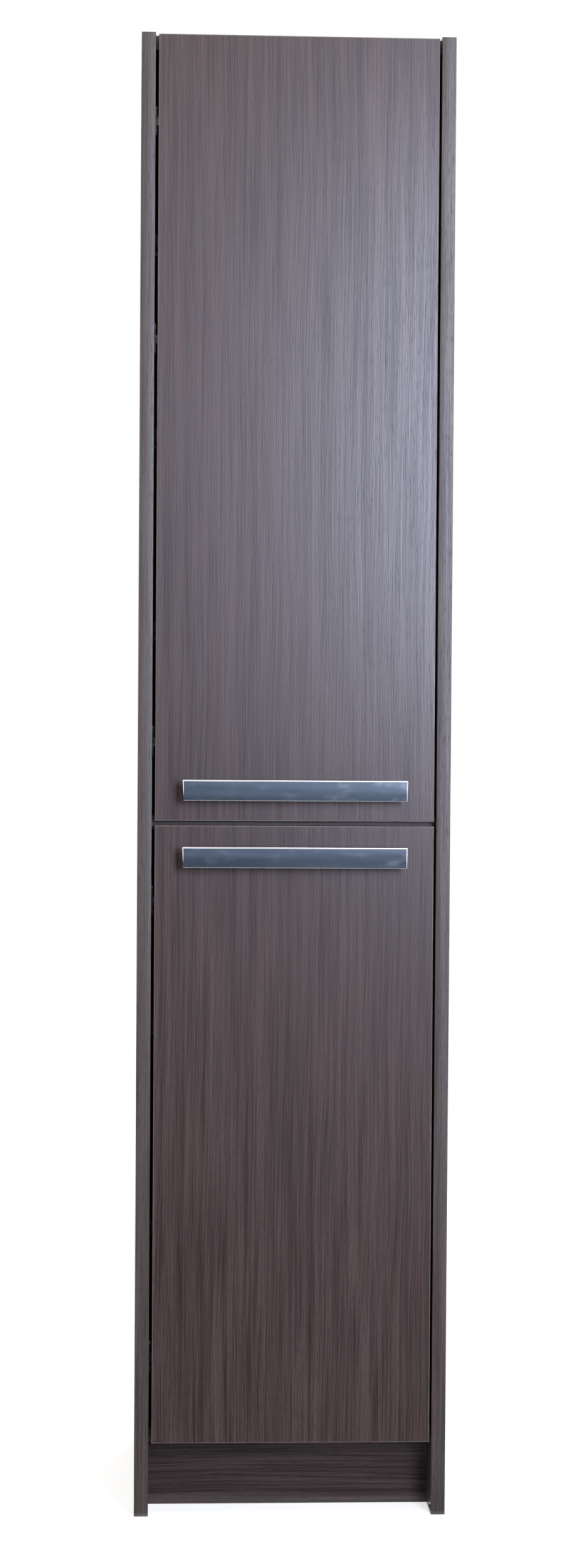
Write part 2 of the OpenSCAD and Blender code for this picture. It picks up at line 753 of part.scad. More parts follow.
module cup_screws(hinge_z) {
    for (z = hinge_z, s = [-1, 1]) at_hinge(z + s * cup_screw_pitch / 2) {
        rearward(cup_screw_x, door_t + flange_t - cup_screw_l, 0) cylinder(d = cup_screw_d, h = cup_screw_l);
        rearward(cup_screw_x, door_t + flange_t, 0) difference() {
            cylinder(d = cup_head_d, h = cup_head_t);
            translate([0, 0, cup_head_t]) mirror([0, 0, 1]) cross_slot(cup_head_d / 2, slot_w, slot_depth);
        }
    }
}

// The outer link is a channel: two side plates and a web on the side away from the inner link.
module outer_links(hinge_z) {
    for (z = hinge_z) at_hinge(z) {
        up_and_down() layer(outer_layer[0], outer_layer[1]) difference() {
            union() {
                translate(outer_pin_arm) circle(link_eye_r);
                bar(outer_pin_arm, outer_elbow, link_half);
                bar(outer_elbow, outer_bend, link_half);
                bar(outer_bend, outer_heel, link_half);
                bar(outer_heel, outer_pin_cup, link_half);
                translate(outer_pin_cup) circle(link_eye_r);
            }
            hinge_bore(outer_pin_arm, hinge_pin_d + 2 * link_fit);
            hinge_bore(outer_pin_cup, hinge_pin_d + 2 * link_fit);
        }
        layer(-outer_layer[1], outer_layer[1])
            side_strip(outer_bend, outer_elbow, link_web_span, link_half - link_web_t, link_half - ease);
    }
}

module inner_links(hinge_z) {
    for (z = hinge_z) at_hinge(z) layer(-inner_layer, inner_layer) difference() {
        union() {
            translate(inner_pin_arm) circle(link_eye_r);
            bar(inner_pin_arm, inner_elbow, link_half);
            bar(inner_elbow, eye_at, link_half);
            translate(eye_at) circle(eye_boss_r);
        }
        hinge_bore(inner_pin_arm, hinge_pin_d + 2 * link_fit);
        translate(eye_at) circle(eye_r);
    }
}

module upper_hinge_arm_1() place() color(metal) hinge_arm(upper_hinge_z[0]);

module upper_hinge_arm_2() place() color(metal) hinge_arm(upper_hinge_z[1]);

module upper_hinge_arm_3() place() color(metal) hinge_arm(upper_hinge_z[2]);

module lower_hinge_arm_1() place() color(metal) hinge_arm(lower_hinge_z[0]);

module lower_hinge_arm_2() place() color(metal) hinge_arm(lower_hinge_z[1]);

module upper_hinge_plate_1() place() color(metal) hinge_plate(upper_hinge_z[0]);

module upper_hinge_plate_2() place() color(metal) hinge_plate(upper_hinge_z[1]);

module upper_hinge_plate_3() place() color(metal) hinge_plate(upper_hinge_z[2]);

module lower_hinge_plate_1() place() color(metal) hinge_plate(lower_hinge_z[0]);

module lower_hinge_plate_2() place() color(metal) hinge_plate(lower_hinge_z[1]);

module upper_hinge_cup_1() place() color(metal) hinge_cup(upper_hinge_z[0]);

module upper_hinge_cup_2() place() color(metal) hinge_cup(upper_hinge_z[1]);

module upper_hinge_cup_3() place() color(metal) hinge_cup(upper_hinge_z[2]);

module lower_hinge_cup_1() place() color(metal) hinge_cup(lower_hinge_z[0]);

module lower_hinge_cup_2() place() color(metal) hinge_cup(lower_hinge_z[1]);

module upper_cup_pins() place() color(metal) cup_pins(upper_hinge_z);

module lower_cup_pins() place() color(metal) cup_pins(lower_hinge_z);

module upper_cup_screws() place() color(metal) cup_screws(upper_hinge_z);

module lower_cup_screws() place() color(metal) cup_screws(lower_hinge_z);

module upper_outer_links() place() color(metal) outer_links(upper_hinge_z);

module lower_outer_links() place() color(metal) outer_links(lower_hinge_z);

module upper_inner_links() place() color(metal) inner_links(upper_hinge_z);

module lower_inner_links() place() color(metal) inner_links(lower_hinge_z);

left_side_panel();
right_side_panel();
top_panel();
fixed_shelf();
bottom_panel();
back_panel();
toe_kick();
hanging_rail();
rear_base_rail();
upper_shelf_1();
upper_shelf_2();
upper_shelf_3();
lower_shelf_1();
lower_shelf_2();
side_edge_bands();
fixed_panel_edge_bands();
shelf_edge_bands();
shelf_pins();
cam_housings();
cam_bolts();
dowels();
back_nails();
stop_pads();
upper_hinge_arm_1();
upper_hinge_arm_2();
upper_hinge_arm_3();
lower_hinge_arm_1();
lower_hinge_arm_2();
upper_hinge_plate_1();
upper_hinge_plate_2();
upper_hinge_plate_3();
lower_hinge_plate_1();
lower_hinge_plate_2();
hinge_arm_pins();
hinge_arm_screws();
hinge_plate_screws();
upper_door();
upper_door_edge_bands();
upper_handle();
upper_handle_screws();
upper_hinge_cup_1();
upper_hinge_cup_2();
upper_hinge_cup_3();
upper_cup_pins();
upper_cup_screws();
lower_door();
lower_door_edge_bands();
lower_handle();
lower_handle_screws();
lower_hinge_cup_1();
lower_hinge_cup_2();
lower_cup_pins();
lower_cup_screws();
upper_outer_links();
upper_inner_links();
lower_outer_links();
lower_inner_links();
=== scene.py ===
"""Looks of the tall bathroom linen cabinet: streaked laminate, edge bands, chrome handles and fittings."""

import math

import bmesh
import bpy
from mathutils import Matrix, Vector


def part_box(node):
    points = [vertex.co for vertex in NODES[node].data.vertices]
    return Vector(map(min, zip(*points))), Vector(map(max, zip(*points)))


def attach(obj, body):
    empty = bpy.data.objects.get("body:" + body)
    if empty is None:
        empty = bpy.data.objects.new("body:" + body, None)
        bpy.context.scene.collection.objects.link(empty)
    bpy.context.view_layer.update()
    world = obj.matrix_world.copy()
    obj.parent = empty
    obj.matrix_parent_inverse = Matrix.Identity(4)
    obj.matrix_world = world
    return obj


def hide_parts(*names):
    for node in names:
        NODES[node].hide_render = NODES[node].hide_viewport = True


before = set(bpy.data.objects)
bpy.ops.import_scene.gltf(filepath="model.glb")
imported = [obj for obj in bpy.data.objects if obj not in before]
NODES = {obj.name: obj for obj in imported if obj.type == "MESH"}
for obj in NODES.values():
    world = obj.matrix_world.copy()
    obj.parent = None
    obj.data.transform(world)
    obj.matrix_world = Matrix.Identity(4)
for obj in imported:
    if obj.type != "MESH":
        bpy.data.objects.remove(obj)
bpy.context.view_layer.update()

MM = 0.001
UP = Vector((0, 0, 1))
TO_FRONT = Vector((0, -1, 0))
TO_WALL = Vector((0, 1, 0))
TO_RIGHT = Vector((1, 0, 0))


# Colours and node helpers


def screen(red, green, blue):
    """A screen colour from 0 to 255 as the linear colour that shaders use."""
    channels = []
    for level in (red, green, blue):
        share = level / 255
        channels.append(share / 12.92 if share <= 0.04045 else ((share + 0.055) / 1.055) ** 2.4)
    return (*channels, 1.0)


def add(tree, kind, **settings):
    """A new node with its settings."""
    node = tree.nodes.new(kind)
    for name, value in settings.items():
        setattr(node, name, value)
    return node


def feed(tree, socket, value):
    """Sets a socket to a number or colour, or links it to another node's output."""
    if isinstance(value, bpy.types.NodeSocket):
        tree.links.new(value, socket)
    else:
        socket.default_value = value


def math_of(tree, operation, *values):
    """One Math node."""
    node = add(tree, "ShaderNodeMath", operation=operation)
    for socket, value in zip(node.inputs, values):
        feed(tree, socket, value)
    return node.outputs[0]


def vector_of(tree, operation, *values):
    """One Vector Math node."""
    node = add(tree, "ShaderNodeVectorMath", operation=operation)
    for socket, value in zip(node.inputs, values):
        feed(tree, socket, value)
    return node.outputs[0]


def spread(tree, value, low, high, to_low=0.0, to_high=1.0):
    """Maps a value from one range to another and keeps it inside."""
    node = add(tree, "ShaderNodeMapRange")
    feed(tree, node.inputs["Value"], value)
    node.inputs["From Min"].default_value = low
    node.inputs["From Max"].default_value = high
    node.inputs["To Min"].default_value = to_low
    node.inputs["To Max"].default_value = to_high
    return node.outputs["Result"]


def blend_of(tree, share, first, second, way="MIX"):
    """One colour Mix node."""
    node = add(tree, "ShaderNodeMix", data_type="RGBA", blend_type=way, clamp_factor=True)
    feed(tree, node.inputs[0], share)
    feed(tree, node.inputs[6], first)
    feed(tree, node.inputs[7], second)
    return node.outputs[2]


def noise_of(tree, place, per_metre, detail=2.0, seed=0.0):
    """Noise with its own count of spots per metre along each axis."""
    scaled = vector_of(tree, "MULTIPLY", place, per_metre)
    node = add(tree, "ShaderNodeTexNoise", noise_dimensions="4D")
    tree.links.new(scaled, node.inputs["Vector"])
    node.inputs["W"].default_value = seed
    node.inputs["Scale"].default_value = 1.0
    node.inputs["Detail"].default_value = detail
    return node


def bump_of(tree, shader, height, strength, depth):
    """Relief on the surface, with its depth in metres."""
    node = add(tree, "ShaderNodeBump")
    node.inputs["Strength"].default_value = strength
    node.inputs["Distance"].default_value = depth
    tree.links.new(height, node.inputs["Height"])
    tree.links.new(node.outputs["Normal"], shader.inputs["Normal"])


def new_material(name):
    """An empty material with one Principled shader: the material, its tree and the shader."""
    material = bpy.data.materials.new(name)
    material.use_nodes = True
    tree = material.node_tree
    tree.nodes.clear()
    output = add(tree, "ShaderNodeOutputMaterial")
    shader = add(tree, "ShaderNodeBsdfPrincipled")
    tree.links.new(shader.outputs["BSDF"], output.inputs["Surface"])
    return material, tree, shader


def object_place(tree, turn=(0.0, 0.0, 0.0), shift=(0.0, 0.0, 0.0)):
    """Object coordinates, turned and shifted by a Mapping node."""
    coordinates = add(tree, "ShaderNodeTexCoord")
    mapping = add(tree, "ShaderNodeMapping")
    mapping.inputs["Rotation"].default_value = turn
    mapping.inputs["Location"].default_value = shift
    tree.links.new(coordinates.outputs["Object"], mapping.inputs["Vector"])
    return mapping.outputs["Vector"]


# Laminate

# Each layer of the print: spots or lines per metre across the grain, spots per metre along it, its share
BROAD_LINES = ((30, 0.8, 0.3), (75, 1.8, 0.7), (150, 3.5, 0.9), (270, 7, 1.05))
FINE_LINES = ((170, 5, 0.07), (235, 8, 0.12), (310, 12, 0.14), (420, 18, 0.14))
WANDER_SPOTS = 0.3
WANDER_TURN = 16.0
SWAY_SPOTS = (9, 9, 2.2)
SWAY_REACH = 14 * MM
PORE_SPOTS = (760, 760, 70)
PORE_SHARE = 0.5
PORE_TONE = (32, 20, 20)
PALE_SPOTS = (700, 700, 22)
PALE_SHARE = 0.15
PALE_TONE = (112, 98, 96)
HUE_SPOTS = (120, 120, 6)
COOL_TINT = (0.93, 1.0, 1.06, 1.0)
WARM_TINT = (1.07, 1.0, 0.94, 1.0)


def fine_lines(tree, place, per_metre, along, seed):
    """Close upright lines that wander and break off, from -1 to 1."""
    level = add(tree, "ShaderNodeVectorMath", operation="DOT_PRODUCT")
    tree.links.new(place, level.inputs[0])
    level.inputs[1].default_value = (1.0, 1.0, 0.0)
    spots = WANDER_SPOTS * per_metre
    wander = noise_of(tree, place, (spots, spots, along), detail=1, seed=seed)
    phase = math_of(tree, "MULTIPLY", wander.outputs["Fac"], WANDER_TURN)
    turns = math_of(tree, "MULTIPLY_ADD", level.outputs["Value"], 2 * math.pi * per_metre, phase)
    return math_of(tree, "SINE", turns)


def wood_streaks():
    """The laminate's printed wood, with its grain along Z: tone lines, pores, pale lines and hue."""
    tree = bpy.data.node_groups.new("wood_streaks", "ShaderNodeTree")
    tree.interface.new_socket("Place", in_out="INPUT", socket_type="NodeSocketVector")
    for label in ("Tone", "Pores", "Pale", "Hue"):
        tree.interface.new_socket(label, in_out="OUTPUT", socket_type="NodeSocketFloat")
    source = add(tree, "NodeGroupInput")
    result = add(tree, "NodeGroupOutput")
    sway = noise_of(tree, source.outputs["Place"], SWAY_SPOTS, detail=1, seed=1.0)
    centred = vector_of(tree, "SUBTRACT", sway.outputs["Color"], (0.5, 0.5, 0.5))
    drift = vector_of(tree, "MULTIPLY", centred, (SWAY_REACH, SWAY_REACH, 0.0))
    place = vector_of(tree, "ADD", source.outputs["Place"], drift)
    tone = 0.5 - 0.5 * sum(share for _, _, share in BROAD_LINES)
    for number, (across, along, share) in enumerate(BROAD_LINES):
        grain = noise_of(tree, place, (across, across, along), detail=0, seed=2.0 + number)
        tone = math_of(tree, "MULTIPLY_ADD", grain.outputs["Fac"], share, tone)
    for number, (across, along, share) in enumerate(FINE_LINES):
        line = fine_lines(tree, place, across, along, 21.0 + number)
        tone = math_of(tree, "MULTIPLY_ADD", line, share, tone)
    pores = noise_of(tree, place, PORE_SPOTS, detail=1, seed=11.0)
    pale = noise_of(tree, place, PALE_SPOTS, detail=1, seed=12.0)
    hue = noise_of(tree, place, HUE_SPOTS, detail=3, seed=13.0)
    feed(tree, result.inputs["Tone"], spread(tree, tone, 0.0, 1.0))
    feed(tree, result.inputs["Pores"], spread(tree, pores.outputs["Fac"], 0.52, 0.7))
    feed(tree, result.inputs["Pale"], spread(tree, pale.outputs["Fac"], 0.56, 0.74))
    feed(tree, result.inputs["Hue"], spread(tree, hue.outputs["Fac"], 0.3, 0.7))
    return tree


STREAKS = wood_streaks()


def laminate(name, turn, shift, dark, light, roughness=0.34, gloss=0.66):
    """Streaked wood laminate between its darkest and its lightest tone."""
    material, tree, shader = new_material(name)
    group = add(tree, "ShaderNodeGroup", node_tree=STREAKS)
    tree.links.new(object_place(tree, turn, shift), group.inputs["Place"])
    tone = group.outputs["Tone"]
    ground = blend_of(tree, tone, screen(*dark), screen(*light))
    tint = blend_of(tree, group.outputs["Hue"], COOL_TINT, WARM_TINT)
    tinted = blend_of(tree, 1.0, ground, tint, "MULTIPLY")
    pale = math_of(tree, "MULTIPLY", group.outputs["Pale"], PALE_SHARE)
    lifted = blend_of(tree, pale, tinted, screen(*PALE_TONE))
    pores = math_of(tree, "MULTIPLY", group.outputs["Pores"], PORE_SHARE)
    pored = blend_of(tree, pores, lifted, screen(*PORE_TONE))
    tree.links.new(pored, shader.inputs["Base Color"])
    dull = math_of(tree, "MULTIPLY_ADD", group.outputs["Pores"], 0.08, roughness + 0.02)
    tree.links.new(math_of(tree, "MULTIPLY_ADD", tone, -0.08, dull), shader.inputs["Roughness"])
    relief = math_of(tree, "MULTIPLY_ADD", group.outputs["Pores"], -0.5, tone)
    bump_of(tree, shader, relief, 0.4, 0.06 * MM)
    shader.inputs["Specular IOR Level"].default_value = gloss
    shader.inputs["Specular Tint"].default_value = (0.9, 0.93, 1.0, 1.0)
    return material


GRAIN_UP = (0.0, 0.0, 0.0)
GRAIN_ALONG_X = (0.0, math.radians(90), 0.0)
WENGE = ((47, 27, 15), (91, 74, 69))


def carcass_laminate():
    """Side panels, with their grain upright."""
    return laminate("carcass_laminate", GRAIN_UP, (0.0, 0.0, 0.0), *WENGE)


def board_laminate():
    """Fixed panels, shelves and rails, with their grain from side to side."""
    return laminate("board_laminate", GRAIN_ALONG_X, (0.31, 0.17, 0.0), *WENGE)


def plinth_laminate():
    """Toe kick, with its grain from side to side."""
    return laminate("plinth_laminate", GRAIN_ALONG_X, (0.5, 0.0, 0.3), (40, 24, 20), (83, 70, 66), gloss=0.5)


def upper_door_laminate():
    """Upper door, with its grain upright."""
    return laminate("upper_door_laminate", GRAIN_UP, (0.73, 0.2, 0.4), *WENGE)


def lower_door_laminate():
    """Lower door, cut from another sheet."""
    return laminate("lower_door_laminate", GRAIN_UP, (1.91, 0.4, 1.3), *WENGE)


def side_band_laminate():
    """Banding on the carcass's front edges, duller and a little greener than the boards."""
    return laminate("side_band_laminate", GRAIN_UP, (0.4, 0.1, 0.2), (57, 40, 32), (90, 80, 73), 0.45)


def board_band_laminate():
    """Banding on the front edges of the fixed panels and shelves."""
    return laminate("board_band_laminate", GRAIN_ALONG_X, (0.1, 0.4, 0.0), (58, 44, 38), (88, 80, 76), 0.45)


def door_band_laminate():
    """Banding around the doors, a lighter tan than the door faces, which shows as a thin tan line along
    their arrises.
    """
    return laminate("door_band_laminate", GRAIN_UP, (0.2, 0.3, 0.9), (98, 86, 74), (122, 110, 98), 0.45)


# Other materials


def hardboard():
    """Brown fibre board of the back panel."""
    material, tree, shader = new_material("hardboard")
    place = object_place(tree)
    fibres = noise_of(tree, place, (420, 420, 420), detail=4, seed=1.0).outputs["Fac"]
    clouds = noise_of(tree, place, (14, 14, 14), detail=2, seed=2.0).outputs["Fac"]
    ground = blend_of(tree, spread(tree, clouds, 0.3, 0.7), screen(128, 104, 84), screen(146, 122, 100))
    fleck = blend_of(tree, spread(tree, fibres, 0.55, 0.75, 0.0, 0.6), ground, screen(88, 66, 50))
    tree.links.new(fleck, shader.inputs["Base Color"])
    tree.links.new(spread(tree, fibres, 0.2, 0.8, 0.62, 0.82), shader.inputs["Roughness"])
    bump_of(tree, shader, fibres, 0.4, 0.15 * MM)
    return material


def metal(name, tint, worn_tint, smooth, rough, spots, relief):
    """Bare or plated metal whose gloss and tint vary a little."""
    material, tree, shader = new_material(name)
    place = object_place(tree)
    smears = noise_of(tree, place, spots, detail=3, seed=1.0).outputs["Fac"]
    grit = noise_of(tree, place, (2400, 2400, 2400), detail=1, seed=2.0).outputs["Fac"]
    colour = blend_of(tree, spread(tree, smears, 0.35, 0.7), screen(*tint), screen(*worn_tint))
    tree.links.new(colour, shader.inputs["Base Color"])
    tree.links.new(spread(tree, smears, 0.3, 0.7, smooth, rough), shader.inputs["Roughness"])
    shader.inputs["Metallic"].default_value = 1.0
    bump_of(tree, shader, grit, relief, 0.02 * MM)
    return material


def chrome():
    """Polished chrome plate with faint smears and a few duller finger marks."""
    material, tree, shader = new_material("chrome")
    place = object_place(tree)
    smears = noise_of(tree, place, (60, 60, 150), detail=3, seed=1.0).outputs["Fac"]
    marks = noise_of(tree, place, (26, 26, 70), detail=5, seed=4.0).outputs["Fac"]
    wiped = spread(tree, smears, 0.3, 0.7, 0.03, 0.1)
    dulled = math_of(tree, "MULTIPLY_ADD", spread(tree, marks, 0.5, 0.72), 0.07, wiped)
    tree.links.new(dulled, shader.inputs["Roughness"])
    colour = blend_of(tree, spread(tree, smears, 0.35, 0.7), screen(228, 232, 238), screen(216, 222, 231))
    tree.links.new(colour, shader.inputs["Base Color"])
    shader.inputs["Metallic"].default_value = 1.0
    bump_of(tree, shader, smears, 0.05, 0.02 * MM)
    return material


def hinge_nickel():
    """Pressed steel with nickel plate, darker than bright nickel: painted shade that keeps the hinges dark
    in the door gaps.
    """
    return metal("hinge_nickel", (158, 154, 148), (132, 128, 122), 0.26, 0.4, (160, 160, 900), 0.25)


def plated_steel():
    """Bright zinc-plated steel of the screws and pins."""
    return metal("plated_steel", (204, 206, 210), (186, 188, 186), 0.22, 0.38, (300, 300, 300), 0.2)


def cast_zinc():
    """Bare die-cast zinc of the cam housings."""
    return metal("cast_zinc", (160, 161, 164), (140, 141, 146), 0.38, 0.52, (420, 420, 420), 0.6)


def beech():
    """Fluted beech dowels."""
    material, tree, shader = new_material("beech")
    place = object_place(tree, GRAIN_ALONG_X)
    grain = noise_of(tree, place, (900, 900, 60), detail=3, seed=1.0).outputs["Fac"]
    colour = blend_of(tree, spread(tree, grain, 0.35, 0.65), screen(206, 170, 124), screen(184, 146, 102))
    tree.links.new(colour, shader.inputs["Base Color"])
    tree.links.new(spread(tree, grain, 0.3, 0.7, 0.55, 0.7), shader.inputs["Roughness"])
    bump_of(tree, shader, grain, 0.4, 0.1 * MM)
    return material


def clear_pad():
    """Soft clear stop pads."""
    material, tree, shader = new_material("clear_pad")
    haze = noise_of(tree, object_place(tree), (500, 500, 500), detail=2, seed=1.0).outputs["Fac"]
    colour = blend_of(tree, haze, screen(228, 228, 222), screen(212, 212, 204))
    tree.links.new(colour, shader.inputs["Base Color"])
    tree.links.new(spread(tree, haze, 0.3, 0.7, 0.18, 0.34), shader.inputs["Roughness"])
    shader.inputs["Subsurface Weight"].default_value = 0.3
    shader.inputs["Subsurface Scale"].default_value = 1.5 * MM
    return material


# Geometry node helpers

SMOOTH_DEGREES = 35
WELD = 0.002 * MM


def geometry_tree(name, sizes):
    """A node tree that takes a mesh, named sizes in metres and a material, and gives a mesh."""
    tree = bpy.data.node_groups.new(name, "GeometryNodeTree")
    tree.interface.new_socket("Geometry", in_out="INPUT", socket_type="NodeSocketGeometry")
    for label in sizes:
        tree.interface.new_socket(label, in_out="INPUT", socket_type="NodeSocketFloat")
    tree.interface.new_socket("Material", in_out="INPUT", socket_type="NodeSocketMaterial")
    tree.interface.new_socket("Geometry", in_out="OUTPUT", socket_type="NodeSocketGeometry")
    return tree, add(tree, "NodeGroupInput"), add(tree, "NodeGroupOutput")


def end_tree(tree, source, result, geometry):
    """Realizes the instances, sets the material and joins up the output."""
    realized = add(tree, "GeometryNodeRealizeInstances")
    painted = add(tree, "GeometryNodeSetMaterial")
    tree.links.new(geometry, realized.inputs["Geometry"])
    tree.links.new(realized.outputs["Geometry"], painted.inputs["Geometry"])
    tree.links.new(source.outputs["Material"], painted.inputs["Material"])
    tree.links.new(painted.outputs["Geometry"], result.inputs["Geometry"])


def grown(name, sites, tree, sizes, material, smooth_degrees=SMOOTH_DEGREES):
    """The plain mesh that a tree makes from its sites, as an object at the origin."""
    piece = bpy.data.objects.new(name, sites)
    bpy.context.scene.collection.objects.link(piece)
    modifier = piece.modifiers.new(tree.name, "NODES")
    modifier.node_group = tree
    given = {**sizes, "Material": material}
    for item in tree.interface.items_tree:
        if item.in_out == "INPUT" and item.name in given:
            modifier[item.identifier] = given[item.name]
    evaluated = piece.evaluated_get(bpy.context.evaluated_depsgraph_get())
    mesh = bpy.data.meshes.new_from_object(evaluated)
    piece.modifiers.remove(modifier)
    piece.data = mesh
    face_outward(mesh)
    smooth_by_angle(mesh, smooth_degrees)
    return piece


def face_outward(mesh):
    """Turns every face of a closed mesh to point outward."""
    shape = bmesh.new()
    shape.from_mesh(mesh)
    bmesh.ops.remove_doubles(shape, verts=shape.verts, dist=WELD)
    bmesh.ops.recalc_face_normals(shape, faces=shape.faces)
    shape.to_mesh(mesh)
    shape.free()


def smooth_by_angle(mesh, angle):
    """Smooth shading, with creases at edges sharper than the angle in degrees."""
    mesh.shade_smooth()
    mesh.set_sharp_from_angle(angle=math.radians(angle))


def lines_mesh(name, strips):
    """Edges for a sweep: each strip is a start, an end and the way that its outer face looks."""
    mesh = bpy.data.meshes.new(name)
    points = [point for start, end, _ in strips for point in (start, end)]
    mesh.from_pydata(points, [(2 * n, 2 * n + 1) for n in range(len(strips))], [])
    looks = mesh.attributes.new("outward", "FLOAT_VECTOR", "POINT")
    looks.data.foreach_set("vector", [v for _, _, way in strips for _ in range(2) for v in way])
    return mesh


def points_mesh(name, sites):
    """Points for instances: each site is a place and the way that its head looks."""
    mesh = bpy.data.meshes.new(name)
    mesh.from_pydata([place for place, _ in sites], [], [])
    looks = mesh.attributes.new("outward", "FLOAT_VECTOR", "POINT")
    looks.data.foreach_set("vector", [v for _, way in sites for v in way])
    return mesh


# Edge bands


def banding_tree():
    """Sweeps a flat strip with two rounded outer arrises along each line."""
    tree, source, result = geometry_tree("edge_banding", ("Width", "Thickness", "Arris"))
    curve = add(tree, "GeometryNodeMeshToCurve")
    tree.links.new(source.outputs["Geometry"], curve.inputs["Mesh"])
    outward = add(tree, "GeometryNodeInputNamedAttribute", data_type="FLOAT_VECTOR")
    outward.inputs["Name"].default_value = "outward"
    turned = add(tree, "GeometryNodeSetCurveNormal", mode="FREE")
    tree.links.new(curve.outputs["Curve"], turned.inputs["Curve"])
    tree.links.new(outward.outputs["Attribute"], turned.inputs["Normal"])
    outline = add(tree, "GeometryNodeCurvePrimitiveQuadrilateral", mode="RECTANGLE")
    tree.links.new(source.outputs["Thickness"], outline.inputs["Width"])
    tree.links.new(source.outputs["Width"], outline.inputs["Height"])
    place = add(tree, "GeometryNodeInputPosition")
    split = add(tree, "ShaderNodeSeparateXYZ")
    tree.links.new(place.outputs["Position"], split.inputs["Vector"])
    outer = math_of(tree, "GREATER_THAN", split.outputs["X"], 0.0)
    radius = math_of(tree, "MULTIPLY", outer, source.outputs["Arris"])
    rounded = add(tree, "GeometryNodeFilletCurve", mode="POLY")
    tree.links.new(outline.outputs["Curve"], rounded.inputs["Curve"])
    rounded.inputs["Count"].default_value = 4
    tree.links.new(radius, rounded.inputs["Radius"])
    shifted = add(tree, "GeometryNodeTransform")
    lift = add(tree, "ShaderNodeCombineXYZ")
    tree.links.new(math_of(tree, "MULTIPLY", source.outputs["Thickness"], 0.5), lift.inputs["X"])
    tree.links.new(lift.outputs["Vector"], shifted.inputs["Translation"])
    tree.links.new(rounded.outputs["Curve"], shifted.inputs["Geometry"])
    swept = add(tree, "GeometryNodeCurveToMesh")
    swept.inputs["Fill Caps"].default_value = True
    tree.links.new(turned.outputs["Curve"], swept.inputs["Curve"])
    tree.links.new(shifted.outputs["Geometry"], swept.inputs["Profile Curve"])
    end_tree(tree, source, result, swept.outputs["Mesh"])
    return tree


BANDING = banding_tree()
BAND_T = 1 * MM
BAND_ARRIS = 0.5 * MM
BAND_SMOOTH_DEGREES = 12
BOARD_T = 18 * MM
CAD_WELD = 0.005 * MM


def front_strips(node, across):
    """Strips over the front of a node made of flat front edges, one for each solid in it."""
    strips = []
    for low, high in solid_boxes(node):
        middle = (low + high) / 2
        back = high.y
        if across:
            start = Vector((low.x, back, middle.z))
            end = Vector((high.x, back, middle.z))
        else:
            start = Vector((middle.x, back, low.z))
            end = Vector((middle.x, back, high.z))
        strips.append((start, end, TO_FRONT))
    return strips


def solid_boxes(node):
    """The lowest and highest corners of each separate solid in a CAD node."""
    shape = bmesh.new()
    shape.from_mesh(NODES[node].data)
    bmesh.ops.remove_doubles(shape, verts=shape.verts, dist=CAD_WELD)
    left = set(shape.verts)
    boxes = []
    while left:
        island = {left.pop()}
        edge = list(island)
        while edge:
            for link in edge.pop().link_edges:
                for vert in link.verts:
                    if vert not in island:
                        island.add(vert)
                        edge.append(vert)
        left -= island
        places = [vert.co for vert in island]
        low = Vector([min(place[axis] for place in places) for axis in range(3)])
        high = Vector([max(place[axis] for place in places) for axis in range(3)])
        boxes.append((low, high))
    shape.free()
    return sorted(boxes, key=lambda box: tuple(box[0]))


def band_piece(node, strips, body, material, width):
    """Edge bands with rounded arrises, in place of a CAD node's square ones."""
    sizes = {"Width": width, "Thickness": BAND_T, "Arris": BAND_ARRIS}
    lines = lines_mesh(node + "_lines", strips)
    piece = grown(node + "_rounded", lines, BANDING, sizes, material, BAND_SMOOTH_DEGREES)
    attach(piece, body)
    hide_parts(node)


def door_strips(node):
    """Four strips around a door: the upright ones run its full height."""
    low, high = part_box(node)
    depth = (low.y + high.y) / 2
    left = low.x + BAND_T
    right = high.x - BAND_T
    foot = low.z + BAND_T
    head = high.z - BAND_T
    return [
        (Vector((left, depth, low.z)), Vector((left, depth, high.z)), -TO_RIGHT),
        (Vector((right, depth, low.z)), Vector((right, depth, high.z)), TO_RIGHT),
        (Vector((left, depth, foot)), Vector((right, depth, foot)), -UP),
        (Vector((left, depth, head)), Vector((right, depth, head)), UP),
    ]


def make_bands():
    """Every edge band of the carcass, the shelves and the doors."""
    side = side_band_laminate()
    board = board_band_laminate()
    door = door_band_laminate()
    band_piece("side_edge_bands", front_strips("side_edge_bands", False), "carcass", side, BOARD_T)
    for node in ("fixed_panel_edge_bands", "shelf_edge_bands"):
        band_piece(node, front_strips(node, True), "carcass", board, BOARD_T)
    for leaf in ("upper", "lower"):
        node = leaf + "_door_edge_bands"
        band_piece(node, door_strips(node), leaf + "_door", door, BOARD_T)


# Screws, nails and shelf pins

FASTENER_SIZES = ("Head Diameter", "Head Height", "Shank Diameter", "Shank Length")
PIN_SIZES = (
    "Pin Diameter", "Pin Depth", "Reach", "Collar Radius", "Collar Thickness",
    "Spoon Width", "Spoon Thickness",
)
RECESS_SHARE = 0.52
RECESS_WIDTH = 0.9 * MM
RECESS_CUTTER = 1.3
AXIS_RING = 0.001 * MM
AXIS_WELD = 0.004 * MM


def by_index(tree, values):
    """A number chosen from a list by each point's index."""
    node = add(tree, "GeometryNodeIndexSwitch", data_type="FLOAT")
    while len(node.index_switch_items) < len(values):
        node.index_switch_items.new()
    tree.links.new(add(tree, "GeometryNodeInputIndex").outputs["Index"], node.inputs["Index"])
    for number, value in enumerate(values):
        feed(tree, node.inputs[number + 1], value)
    return node.outputs["Output"]


